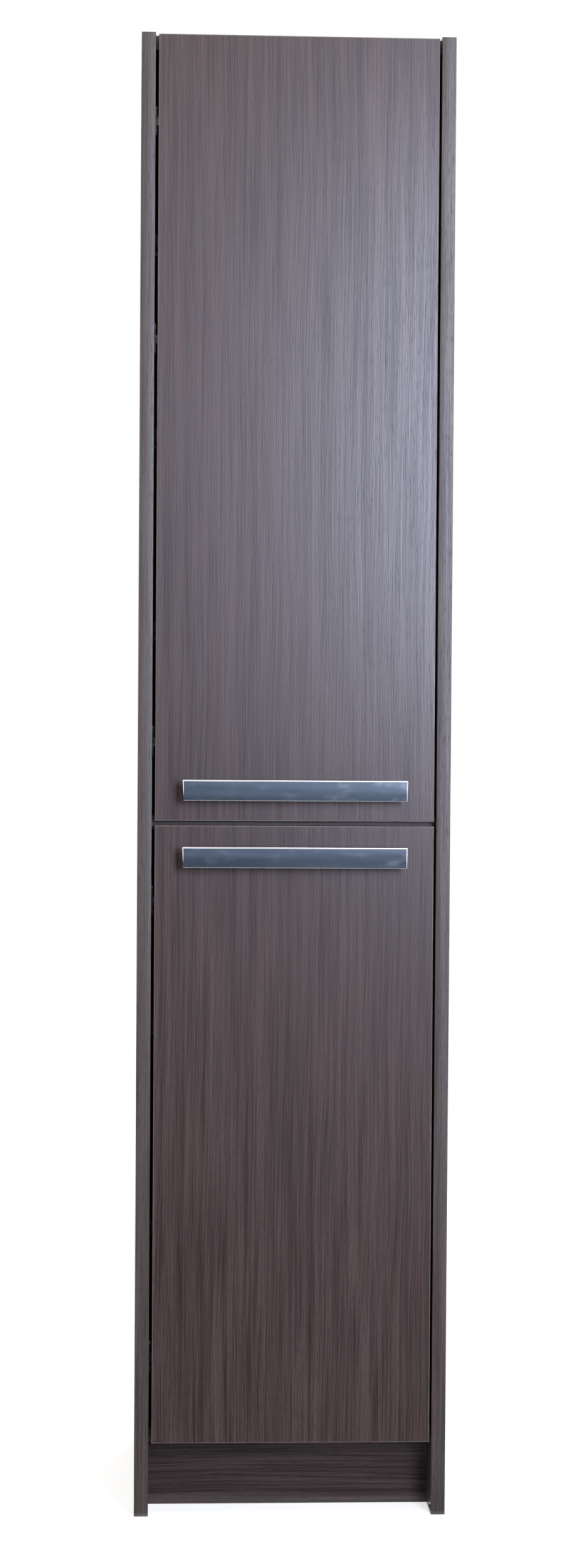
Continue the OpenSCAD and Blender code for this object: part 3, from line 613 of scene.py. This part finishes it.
def turned_solid(tree, radii, heights, sides):
    """A solid of revolution about Z, from the radii and heights of its profile's points."""
    line = add(tree, "GeometryNodeMeshLine")
    line.inputs["Count"].default_value = len(radii)
    corner = add(tree, "ShaderNodeCombineXYZ")
    tree.links.new(by_index(tree, radii), corner.inputs["X"])
    tree.links.new(math_of(tree, "MULTIPLY", by_index(tree, heights), -1.0), corner.inputs["Y"])
    shaped = add(tree, "GeometryNodeSetPosition")
    tree.links.new(line.outputs["Mesh"], shaped.inputs["Geometry"])
    tree.links.new(corner.outputs["Vector"], shaped.inputs["Position"])
    profile = add(tree, "GeometryNodeMeshToCurve")
    tree.links.new(shaped.outputs["Geometry"], profile.inputs["Mesh"])
    ring = add(tree, "GeometryNodeCurvePrimitiveCircle", mode="RADIUS")
    ring.inputs["Resolution"].default_value = sides
    ring.inputs["Radius"].default_value = AXIS_RING
    spun = add(tree, "GeometryNodeCurveToMesh")
    tree.links.new(ring.outputs["Curve"], spun.inputs["Curve"])
    tree.links.new(profile.outputs["Curve"], spun.inputs["Profile Curve"])
    closed = add(tree, "GeometryNodeMergeByDistance")
    closed.inputs["Distance"].default_value = AXIS_WELD
    tree.links.new(spun.outputs["Mesh"], closed.inputs["Geometry"])
    return closed.outputs["Geometry"]


def on_sites(tree, source, shape):
    """Puts a shape at each site, with its Z along the way that the site looks and its X upward."""
    outward = add(tree, "GeometryNodeInputNamedAttribute", data_type="FLOAT_VECTOR")
    outward.inputs["Name"].default_value = "outward"
    aimed = add(tree, "FunctionNodeAlignRotationToVector", axis="Z", pivot_axis="AUTO")
    tree.links.new(outward.outputs["Attribute"], aimed.inputs["Vector"])
    upright = add(tree, "FunctionNodeAlignRotationToVector", axis="X", pivot_axis="Z")
    upright.inputs["Vector"].default_value = UP
    tree.links.new(aimed.outputs["Rotation"], upright.inputs["Rotation"])
    placed = add(tree, "GeometryNodeInstanceOnPoints")
    tree.links.new(source.outputs["Geometry"], placed.inputs["Points"])
    tree.links.new(shape, placed.inputs["Instance"])
    tree.links.new(upright.outputs["Rotation"], placed.inputs["Rotation"])
    return placed.outputs["Instances"]


def shares_of(tree, whole, shares):
    """A size multiplied by each share in a list."""
    return [math_of(tree, "MULTIPLY", whole, share) for share in shares]


def fastener_profile(tree, source):
    """Radii and heights of a domed head over a shank with a blunt tip."""
    head = math_of(tree, "MULTIPLY", source.outputs["Head Diameter"], 0.5)
    shank = math_of(tree, "MULTIPLY", source.outputs["Shank Diameter"], 0.5)
    rise = source.outputs["Head Height"]
    depth = math_of(tree, "MULTIPLY", source.outputs["Shank Length"], -1.0)
    radii = [0.0, *shares_of(tree, head, (0.45, 0.75, 0.94, 1.0, 1.0)), shank, shank, 0.0]
    heights = [rise, *shares_of(tree, rise, (0.97, 0.84, 0.58, 0.3)), 0.0, 0.0]
    heights += [math_of(tree, "ADD", depth, shank), depth]
    return radii, heights


def screw_tree():
    """A domed screw with a cross recess at each site."""
    sizes = (*FASTENER_SIZES, "Recess Length", "Recess Width")
    tree, source, result = geometry_tree("cross_head_screw", sizes)
    body = turned_solid(tree, *fastener_profile(tree, source), sides=24)
    cut = add(tree, "GeometryNodeMeshBoolean", operation="DIFFERENCE", solver="EXACT")
    tree.links.new(body, cut.inputs["Mesh 1"])
    lift = add(tree, "ShaderNodeCombineXYZ")
    tree.links.new(source.outputs["Head Height"], lift.inputs["Z"])
    for first, second in (("Recess Length", "Recess Width"), ("Recess Width", "Recess Length")):
        size = add(tree, "ShaderNodeCombineXYZ")
        tree.links.new(source.outputs[first], size.inputs["X"])
        tree.links.new(source.outputs[second], size.inputs["Y"])
        tall = math_of(tree, "MULTIPLY", source.outputs["Head Height"], RECESS_CUTTER)
        tree.links.new(tall, size.inputs["Z"])
        block = add(tree, "GeometryNodeMeshCube")
        tree.links.new(size.outputs["Vector"], block.inputs["Size"])
        moved = add(tree, "GeometryNodeTransform")
        tree.links.new(block.outputs["Mesh"], moved.inputs["Geometry"])
        tree.links.new(lift.outputs["Vector"], moved.inputs["Translation"])
        tree.links.new(moved.outputs["Geometry"], cut.inputs["Mesh 2"])
    end_tree(tree, source, result, on_sites(tree, source, cut.outputs["Mesh"]))
    return tree


def nail_tree():
    """A domed nail at each site."""
    tree, source, result = geometry_tree("domed_nail", FASTENER_SIZES)
    body = turned_solid(tree, *fastener_profile(tree, source), sides=16)
    end_tree(tree, source, result, on_sites(tree, source, body))
    return tree


def shelf_pin_tree():
    """A turned shelf pin with a collar and a flat spoon under the shelf, at each site."""
    tree, source, result = geometry_tree("spoon_shelf_pin", PIN_SIZES)
    pin = math_of(tree, "MULTIPLY", source.outputs["Pin Diameter"], 0.5)
    nose = math_of(tree, "MULTIPLY", pin, 0.8)
    collar = source.outputs["Collar Radius"]
    thick = source.outputs["Collar Thickness"]
    reach = source.outputs["Reach"]
    depth = math_of(tree, "MULTIPLY", source.outputs["Pin Depth"], -1.0)
    soft = math_of(tree, "MULTIPLY", collar, 0.9)
    half = math_of(tree, "MULTIPLY", thick, 0.6)
    radii = [0.0, nose, pin, pin, collar, collar, soft, pin, pin, nose, 0.0]
    heights = [depth, depth, math_of(tree, "ADD", depth, 0.5 * MM), 0.0, 0.0, half, thick, thick]
    heights += [math_of(tree, "SUBTRACT", reach, 0.4 * MM), reach, reach]
    stem = turned_solid(tree, radii, heights, sides=20)
    outline = add(tree, "GeometryNodeCurvePrimitiveQuadrilateral", mode="RECTANGLE")
    tree.links.new(source.outputs["Spoon Thickness"], outline.inputs["Width"])
    tree.links.new(source.outputs["Spoon Width"], outline.inputs["Height"])
    rounded = add(tree, "GeometryNodeFilletCurve", mode="POLY")
    rounded.inputs["Count"].default_value = 3
    rounded.inputs["Radius"].default_value = 0.5 * MM
    tree.links.new(outline.outputs["Curve"], rounded.inputs["Curve"])
    line = add(tree, "GeometryNodeCurvePrimitiveLine", mode="POINTS")
    tip = add(tree, "ShaderNodeCombineXYZ")
    tree.links.new(reach, tip.inputs["Z"])
    tree.links.new(tip.outputs["Vector"], line.inputs["End"])
    turned = add(tree, "GeometryNodeSetCurveNormal", mode="FREE")
    turned.inputs["Normal"].default_value = TO_RIGHT
    tree.links.new(line.outputs["Curve"], turned.inputs["Curve"])
    flat = add(tree, "GeometryNodeCurveToMesh")
    flat.inputs["Fill Caps"].default_value = True
    tree.links.new(turned.outputs["Curve"], flat.inputs["Curve"])
    tree.links.new(rounded.outputs["Curve"], flat.inputs["Profile Curve"])
    raised = add(tree, "GeometryNodeTransform")
    lift = add(tree, "ShaderNodeCombineXYZ")
    under = math_of(tree, "MULTIPLY", source.outputs["Spoon Thickness"], 0.5)
    tree.links.new(math_of(tree, "SUBTRACT", collar, under), lift.inputs["X"])
    tree.links.new(lift.outputs["Vector"], raised.inputs["Translation"])
    tree.links.new(flat.outputs["Mesh"], raised.inputs["Geometry"])
    both = add(tree, "GeometryNodeJoinGeometry")
    tree.links.new(stem, both.inputs["Geometry"])
    tree.links.new(raised.outputs["Geometry"], both.inputs["Geometry"])
    end_tree(tree, source, result, on_sites(tree, source, both.outputs["Geometry"]))
    return tree


def fastener_sites(node, way, seat):
    """One site for each solid of a node of screws or nails: the middle of its seat, under the head."""
    axis = max(range(3), key=lambda number: abs(way[number]))
    sites = []
    for low, high in solid_boxes(node):
        place = (low + high) / 2
        place[axis] = high[axis] - seat if way[axis] > 0 else low[axis] + seat
        sites.append((place, way))
    return sites


def fastener_piece(node, body, tree, way, sizes, material):
    """Screws or nails in place of a CAD node's plain ones."""
    sites = fastener_sites(node, way, sizes["Head Height"])
    piece = grown(node + "_turned", points_mesh(node + "_sites", sites), tree, sizes, material)
    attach(piece, body)
    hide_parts(node)


def screw_sizes(head, height, shank, length):
    """Named sizes of a cross-head screw, or of a nail, which has no recess, from millimetres."""
    return {
        "Head Diameter": head * MM,
        "Head Height": height * MM,
        "Shank Diameter": shank * MM,
        "Shank Length": length * MM,
        "Recess Length": head * RECESS_SHARE * MM,
        "Recess Width": RECESS_WIDTH,
    }


def make_fasteners(material):
    """Hinge screws, handle screws, nails and shelf pins."""
    screws = screw_tree()
    fastener_piece("hinge_plate_screws", "carcass", screws, TO_RIGHT, screw_sizes(8, 1.6, 5, 13), material)
    fastener_piece("hinge_arm_screws", "carcass", screws, TO_RIGHT, screw_sizes(7, 1.8, 4, 11), material)
    for leaf in ("upper", "lower"):
        door = leaf + "_door"
        fastener_piece(leaf + "_cup_screws", door, screws, TO_WALL, screw_sizes(7, 1.5, 3.5, 13), material)
        fastener_piece(leaf + "_handle_screws", door, screws, TO_WALL, screw_sizes(8, 2.6, 4, 30), material)
    nail = screw_sizes(5, 0.8, 1.6, 22)
    fastener_piece("back_nails", "carcass", nail_tree(), TO_WALL, nail, material)
    make_shelf_pins(material)


def make_shelf_pins(material):
    """Shelf pins, each seated in its hole with its spoon under the shelf."""
    hole_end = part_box("shelf_pins")[0].x
    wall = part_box("left_side_panel")[1].x
    sizes = {
        "Pin Diameter": 5 * MM,
        "Pin Depth": wall - hole_end,
        "Reach": 9 * MM,
        "Collar Radius": 3.5 * MM,
        "Collar Thickness": 1.2 * MM,
        "Spoon Width": 6 * MM,
        "Spoon Thickness": 2 * MM,
    }
    sites = []
    for low, high in solid_boxes("shelf_pins"):
        at_right = low.x > 0
        place = Vector((-wall if at_right else wall, (low.y + high.y) / 2, high.z - sizes["Collar Radius"]))
        sites.append((place, -TO_RIGHT if at_right else TO_RIGHT))
    points = points_mesh("shelf_pin_sites", sites)
    piece = grown("shelf_pins_turned", points, shelf_pin_tree(), sizes, material)
    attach(piece, "carcass")
    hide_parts("shelf_pins")


# Handles

HANDLE_CROWN = 420 * MM
HANDLE_LEAN = 1 * MM
HANDLE_ARRIS = 0.15 * MM
HANDLE_ARRIS_DEGREES = 22
HANDLE_SMOOTH_DEGREES = 60
HANDLE_ROWS = 26
TOP_BEVEL = 1.1 * MM
BOTTOM_BEVEL = 1.0 * MM
BOTTOM_SLOPE = 0.84
LEFT_BEVEL = 0.8 * MM
RIGHT_BEVEL = 1.7 * MM
BAR_T = 8 * MM
POST_R = 6 * MM
POST_FLARE = 0.6 * MM
POST_SIDES = 48
POST_SINK = 0.05 * MM
POST_AT = 128 * MM


def cut_off(shape, point, way):
    """Cuts away what lies on the far side of a plane and closes the cut."""
    geometry = shape.verts[:] + shape.edges[:] + shape.faces[:]
    cut = bmesh.ops.bisect_plane(shape, geom=geometry, plane_co=point, plane_no=way, clear_outer=True)
    rim = [item for item in cut["geom_cut"] if isinstance(item, bmesh.types.BMEdge)]
    bmesh.ops.contextual_create(shape, geom=rim)


def handle_bar(low, high):
    """The flat bar: a faintly crowned face with bevels along its four front edges and leaning ends."""
    shape = bmesh.new()
    front = low.y
    height = high.z - low.z
    levels = [low.z + height * row / HANDLE_ROWS for row in range(HANDLE_ROWS + 1)]
    middle = (low.z + high.z) / 2
    back = front + BAR_T
    crown = [front + HANDLE_CROWN - math.sqrt(HANDLE_CROWN**2 - (z - middle) ** 2) for z in levels]
    ends = []
    for x in (low.x, high.x):
        face = [shape.verts.new((x, y, z)) for y, z in zip(crown, levels)]
        face += [shape.verts.new((x, back, high.z)), shape.verts.new((x, back, low.z))]
        ends.append(face)
    count = len(ends[0])
    for n in range(count):
        after = (n + 1) % count
        shape.faces.new((ends[0][n], ends[0][after], ends[1][after], ends[1][n]))
    shape.faces.new(ends[0])
    shape.faces.new(ends[1])
    bmesh.ops.recalc_face_normals(shape, faces=shape.faces)
    cut_off(shape, (0, front, high.z - TOP_BEVEL), Vector((0, -1, 1)))
    cut_off(shape, (0, front, low.z + BOTTOM_BEVEL), Vector((0, -1, -BOTTOM_SLOPE)))
    for side, x, bevel in ((-1, low.x, LEFT_BEVEL), (1, high.x, RIGHT_BEVEL)):
        cut_off(shape, (x - side * bevel, front, 0), Vector((side, -1, 0)))
        cut_off(shape, (x, 0, high.z), Vector((side * height, 0, -HANDLE_LEAN)))
    bmesh.ops.recalc_face_normals(shape, faces=shape.faces)
    return shape


def add_post(shape, x, z, front, back):
    """A turned post from the bar to the door, with a small flare at the bar and a softened rear rim."""
    profile = [
        (0.0, front), (POST_R + POST_FLARE, front), (POST_R + 0.3 * POST_FLARE, front + 0.4 * POST_FLARE),
        (POST_R, front + 1.4 * POST_FLARE), (POST_R, back - 0.5 * MM), (POST_R - 0.4 * MM, back),
        (0.0, back),
    ]
    rings = []
    for radius, y in profile:
        if radius == 0.0:
            rings.append([shape.verts.new((x, y, z))])
            continue
        ring = []
        for n in range(POST_SIDES):
            angle = 2 * math.pi * n / POST_SIDES
            ring.append(shape.verts.new((x + radius * math.cos(angle), y, z + radius * math.sin(angle))))
        rings.append(ring)
    for first, second in zip(rings, rings[1:]):
        for n in range(POST_SIDES):
            after = (n + 1) % POST_SIDES
            corners = [first[n % len(first)], first[after % len(first)]]
            corners += [second[after % len(second)], second[n % len(second)]]
            shape.faces.new(list(dict.fromkeys(corners)))


def make_handle(leaf, material):
    """One chrome bar handle on its door."""
    node = leaf + "_handle"
    low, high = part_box(node)
    shape = handle_bar(low, high)
    for x in (-POST_AT, POST_AT):
        add_post(shape, x, (low.z + high.z) / 2, low.y + BAR_T - POST_SINK, high.y)
    bmesh.ops.recalc_face_normals(shape, faces=shape.faces)
    mesh = bpy.data.meshes.new(node + "_polished")
    shape.to_mesh(mesh)
    shape.free()
    mesh.materials.append(material)
    piece = bpy.data.objects.new(node + "_polished", mesh)
    bpy.context.scene.collection.objects.link(piece)
    arris = piece.modifiers.new("arris", "BEVEL")
    arris.width = HANDLE_ARRIS
    arris.segments = 2
    arris.limit_method = "ANGLE"
    arris.angle_limit = math.radians(HANDLE_ARRIS_DEGREES)
    arris.harden_normals = True
    smooth_by_angle(mesh, HANDLE_SMOOTH_DEGREES)
    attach(piece, leaf + "_door")
    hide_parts(node)


# CAD nodes that keep their shape


def paint(material, *names):
    """Gives CAD nodes a material through their objects' own slots."""
    for name in names:
        for slot in NODES[name].material_slots:
            slot.link = "OBJECT"
            slot.material = material


def hinge_nodes(part):
    """The numbered nodes of one part of every hinge."""
    return [name for name in NODES if f"_hinge_{part}_" in name]


def paint_frame(steel):
    """Finishes of the boards and fittings that keep their CAD shape."""
    paint(carcass_laminate(), "left_side_panel", "right_side_panel")
    boards = ["top_panel", "fixed_shelf", "bottom_panel", "hanging_rail", "rear_base_rail"]
    shelves = [name for name in NODES if "_shelf_" in name and "band" not in name and name[-1].isdigit()]
    paint(board_laminate(), *boards, *shelves)
    paint(plinth_laminate(), "toe_kick")
    paint(upper_door_laminate(), "upper_door")
    paint(lower_door_laminate(), "lower_door")
    paint(hardboard(), "back_panel")
    nickel = hinge_nickel()
    links = [f"{leaf}_{which}_links" for leaf in ("upper", "lower") for which in ("outer", "inner")]
    paint(nickel, *hinge_nodes("arm"), *hinge_nodes("plate"), *hinge_nodes("cup"), *links)
    paint(steel, "cam_bolts", "hinge_arm_pins", "upper_cup_pins", "lower_cup_pins")
    paint(cast_zinc(), "cam_housings")
    paint(beech(), "dowels")
    paint(clear_pad(), "stop_pads")


# Studio

FLOOR_REACH = 14.0
ROOM_LIFT = 0.004
ROOM_WIDE = 3.0
# The dim room's dark floor reaches in to the cabinet's front: painted shade in reflections, for the floor
# lying in the cabinet's shadow.
ROOM_NEAR = -0.15
ROOM_FAR = -4.7
ROOM_TALL = 2.6
ROOM_TONES = (
    (0.0, (0.035, 0.042, 0.055)), (0.3, (0.078, 0.1, 0.142)), (0.5, (0.18, 0.228, 0.315)),
    (0.7, (0.4, 0.45, 0.56)), (1.0, (0.3, 0.33, 0.4)),
)
# A glowing strip seen only in reflections, which paints the light line along the bars' lower bevels.
CARD_LEFT = -0.2
CARD_RIGHT = 0.28
CARD_NEAR = -0.285
CARD_FAR = -0.385
CARD_LIFT = 0.008


def aimed(place, target):
    """A turn that points an object's -Z from its place to a target."""
    return (Vector(target) - Vector(place)).to_track_quat("-Z", "Y").to_euler()


def soft_box(name, place, target, width, height, brightness, tint):
    """A rectangular soft light. Brightness 1 is about as bright as a white sheet in full light."""
    lamp = bpy.data.lights.new(name, "AREA")
    lamp.shape = "RECTANGLE"
    lamp.size = width
    lamp.size_y = height
    lamp.color = tint
    lamp.energy = brightness * width * height * math.pi
    holder = bpy.data.objects.new(name, lamp)
    holder.location = place
    holder.rotation_euler = aimed(place, target)
    holder.visible_camera = False
    bpy.context.scene.collection.objects.link(holder)


def seen_directly(tree):
    """1 on rays from the camera and on reflected or transmitted rays, otherwise 0."""
    path = add(tree, "ShaderNodeLightPath")
    direct = math_of(tree, "MAXIMUM", path.outputs["Is Camera Ray"], path.outputs["Is Glossy Ray"])
    return math_of(tree, "MAXIMUM", direct, path.outputs["Is Transmission Ray"])


def white_air():
    """A soft even fill that shows as plain white."""
    world = bpy.data.worlds.new("white_air")
    world.use_nodes = True
    tree = world.node_tree
    tree.nodes.clear()
    output = add(tree, "ShaderNodeOutputWorld")
    fill = add(tree, "ShaderNodeBackground")
    fill.inputs["Color"].default_value = (1.0, 0.98, 0.96, 1.0)
    fill.inputs["Strength"].default_value = 0.2
    shown = add(tree, "ShaderNodeBackground")
    shown.inputs["Color"].default_value = (1.0, 1.0, 1.0, 1.0)
    shown.inputs["Strength"].default_value = 1.0
    mix = add(tree, "ShaderNodeMixShader")
    tree.links.new(seen_directly(tree), mix.inputs["Fac"])
    tree.links.new(fill.outputs["Background"], mix.inputs[1])
    tree.links.new(shown.outputs["Background"], mix.inputs[2])
    tree.links.new(mix.outputs["Shader"], output.inputs["Surface"])
    bpy.context.scene.world = world


def sheet_object(name, corners, faces, material):
    """A stage sheet from its corners."""
    mesh = bpy.data.meshes.new(name)
    mesh.from_pydata(corners, [], faces)
    mesh.materials.append(material)
    piece = bpy.data.objects.new(name, mesh)
    bpy.context.scene.collection.objects.link(piece)
    return piece


def pale_floor():
    """A plain pale floor that keeps a soft shadow near the cabinet and runs out to white around it: its glow
    to direct and reflected rays is painted light, weaker near the cabinet and stronger further out.
    """
    material, tree, shader = new_material("pale_floor")
    shader.inputs["Base Color"].default_value = (0.82, 0.82, 0.82, 1.0)
    shader.inputs["Roughness"].default_value = 0.9
    shader.inputs["Emission Color"].default_value = (1.0, 1.0, 1.0, 1.0)
    distance = add(tree, "ShaderNodeVectorMath", operation="LENGTH")
    tree.links.new(object_place(tree), distance.inputs[0])
    # Painted light: the floor glows more with distance from the cabinet, so the far floor shows white.
    lift = spread(tree, distance.outputs["Value"], 0.8, 3.0, 0.69, 0.83)
    tree.links.new(math_of(tree, "MULTIPLY", seen_directly(tree), lift), shader.inputs["Emission Strength"])
    reach = FLOOR_REACH
    corners = [(-reach, -reach, 0), (reach, -reach, 0), (reach, reach, 0), (-reach, reach, 0)]
    sheet_object("pale_floor", corners, [(0, 1, 2, 3)], material)


def show_in_gloss_only(piece):
    """Hides a stage sheet from all but reflected rays."""
    piece.visible_camera = False
    piece.visible_diffuse = False
    piece.visible_transmission = False
    piece.visible_shadow = False


def glow_material(name):
    """An empty material that only glows: the material, its tree and the Emission node."""
    material = bpy.data.materials.new(name)
    material.use_nodes = True
    tree = material.node_tree
    tree.nodes.clear()
    output = add(tree, "ShaderNodeOutputMaterial")
    glow = add(tree, "ShaderNodeEmission")
    tree.links.new(glow.outputs["Emission"], output.inputs["Surface"])
    return material, tree, glow


def dim_room():
    """The dim end of the studio in front of the cabinet, seen only in the gloss of metal and laminate. Its
    floor part runs in to the cabinet's front as painted shade, for the pale floor lying in the cabinet's
    shadow.
    """
    material, tree, glow = glow_material("dim_room")
    place = object_place(tree)
    split = add(tree, "ShaderNodeSeparateXYZ")
    tree.links.new(place, split.inputs["Vector"])
    ramp = add(tree, "ShaderNodeValToRGB")
    ramp.color_ramp.interpolation = "B_SPLINE"
    while len(ramp.color_ramp.elements) < len(ROOM_TONES):
        ramp.color_ramp.elements.new(0.5)
    for element, (at, colour) in zip(ramp.color_ramp.elements, ROOM_TONES):
        element.position = at
        element.color = (*colour, 1.0)
    tree.links.new(spread(tree, split.outputs["Z"], 0.0, ROOM_TALL), ramp.inputs["Fac"])
    clouds = noise_of(tree, place, (2.4, 2.4, 5.0), detail=3, seed=1.0).outputs["Fac"]
    varied = spread(tree, clouds, 0.3, 0.7, 0.7, 1.3)
    rightward = spread(tree, split.outputs["X"], -0.1, 1.5, 1.0, 3.2)
    tree.links.new(ramp.outputs["Color"], glow.inputs["Color"])
    tree.links.new(math_of(tree, "MULTIPLY", varied, rightward), glow.inputs["Strength"])
    wide, near, far, lift = ROOM_WIDE, ROOM_NEAR, ROOM_FAR, ROOM_LIFT
    corners = [(-wide, near, lift), (wide, near, lift), (wide, far, lift), (-wide, far, lift)]
    corners += [(wide, far, ROOM_TALL), (-wide, far, ROOM_TALL)]
    show_in_gloss_only(sheet_object("dim_room", corners, [(0, 1, 2, 3), (3, 2, 4, 5)], material))


def floor_card():
    """A pale glowing strip just over the floor, seen only in reflections: a painted reflection that draws
    the thin light line along the bars' lower bevels.
    """
    material, tree, glow = glow_material("floor_card")
    glow.inputs["Color"].default_value = (0.97, 0.97, 1.0, 1.0)
    clouds = noise_of(tree, object_place(tree), (6, 6, 6), detail=2, seed=1.0).outputs["Fac"]
    tree.links.new(spread(tree, clouds, 0.3, 0.7, 0.46, 0.62), glow.inputs["Strength"])
    near = [(CARD_LEFT, CARD_NEAR, CARD_LIFT), (CARD_RIGHT, CARD_NEAR, CARD_LIFT)]
    far = [(CARD_RIGHT, CARD_FAR, CARD_LIFT), (CARD_LEFT, CARD_FAR, CARD_LIFT)]
    show_in_gloss_only(sheet_object("floor_card", near + far, [(0, 1, 2, 3)], material))


def make_lights():
    """A cool soft box at the upper right, a weaker low one, and soft light from all round."""
    soft_box("key_box", (0.853, -3.0, 1.652), (0.0, -0.18, 1.3), 0.64, 1.14, 28.2, (0.755, 0.82, 1.0))
    soft_box("low_box", (1.35, -3.1, 0.85), (0.0, -0.18, 0.8), 0.7, 1.1, 6.5, (0.92, 0.88, 1.0))
    soft_box("top_box", (0.0, -0.5, 3.2), (0.0, -0.2, 0.9), 2.0, 1.4, 2.6, (1.0, 0.98, 0.95))
    soft_box("left_box", (-3.0, -0.6, 1.4), (0.0, 0.1, 1.0), 1.4, 1.8, 2.0, (1.0, 0.98, 0.96))
    soft_box("right_box", (3.0, 0.8, 1.4), (0.0, 0.1, 1.0), 1.4, 1.8, 2.0, (1.0, 0.98, 0.96))
    soft_box("rear_box", (0.6, 3.6, 1.8), (0.0, 0.2, 1.0), 2.0, 1.8, 3.0, (1.0, 0.98, 0.96))


EYE = (-0.2043, -3.9277, 1.0355)
YAW = math.radians(2.898)
PITCH = math.radians(-1.467)
ROLL = math.radians(0.386)
FRAME_TALL_PX = 2500
LENS_PX = 4685.8
SENSOR_MM = 36


def make_camera():
    """The photograph's view: eye point, turn and lens from lines measured on it."""
    forward = Vector((math.sin(YAW) * math.cos(PITCH), math.cos(YAW) * math.cos(PITCH), math.sin(PITCH)))
    right = Vector((math.cos(YAW), -math.sin(YAW), 0))
    above = right.cross(forward)
    across = math.cos(ROLL) * right + math.sin(ROLL) * above
    up = math.cos(ROLL) * above - math.sin(ROLL) * right
    data = bpy.data.cameras.new("camera")
    data.sensor_width = SENSOR_MM
    data.lens = SENSOR_MM * LENS_PX / FRAME_TALL_PX
    data.clip_end = 60
    holder = bpy.data.objects.new("camera", data)
    turn = Matrix((across, up, -forward)).transposed()
    holder.matrix_world = Matrix.Translation(EYE) @ turn.to_4x4()
    bpy.context.scene.collection.objects.link(holder)
    bpy.context.scene.camera = holder


def make_studio():
    """Camera, lights, air, floor and the sheets that only gloss shows."""
    bpy.context.scene.view_settings.view_transform = "Standard"
    make_camera()
    make_lights()
    white_air()
    pale_floor()
    dim_room()
    floor_card()


make_studio()
steel_finish = plated_steel()
chrome_finish = chrome()
paint_frame(steel_finish)
make_bands()
make_fasteners(steel_finish)
for door_leaf in ("upper", "lower"):
    make_handle(door_leaf, chrome_finish)
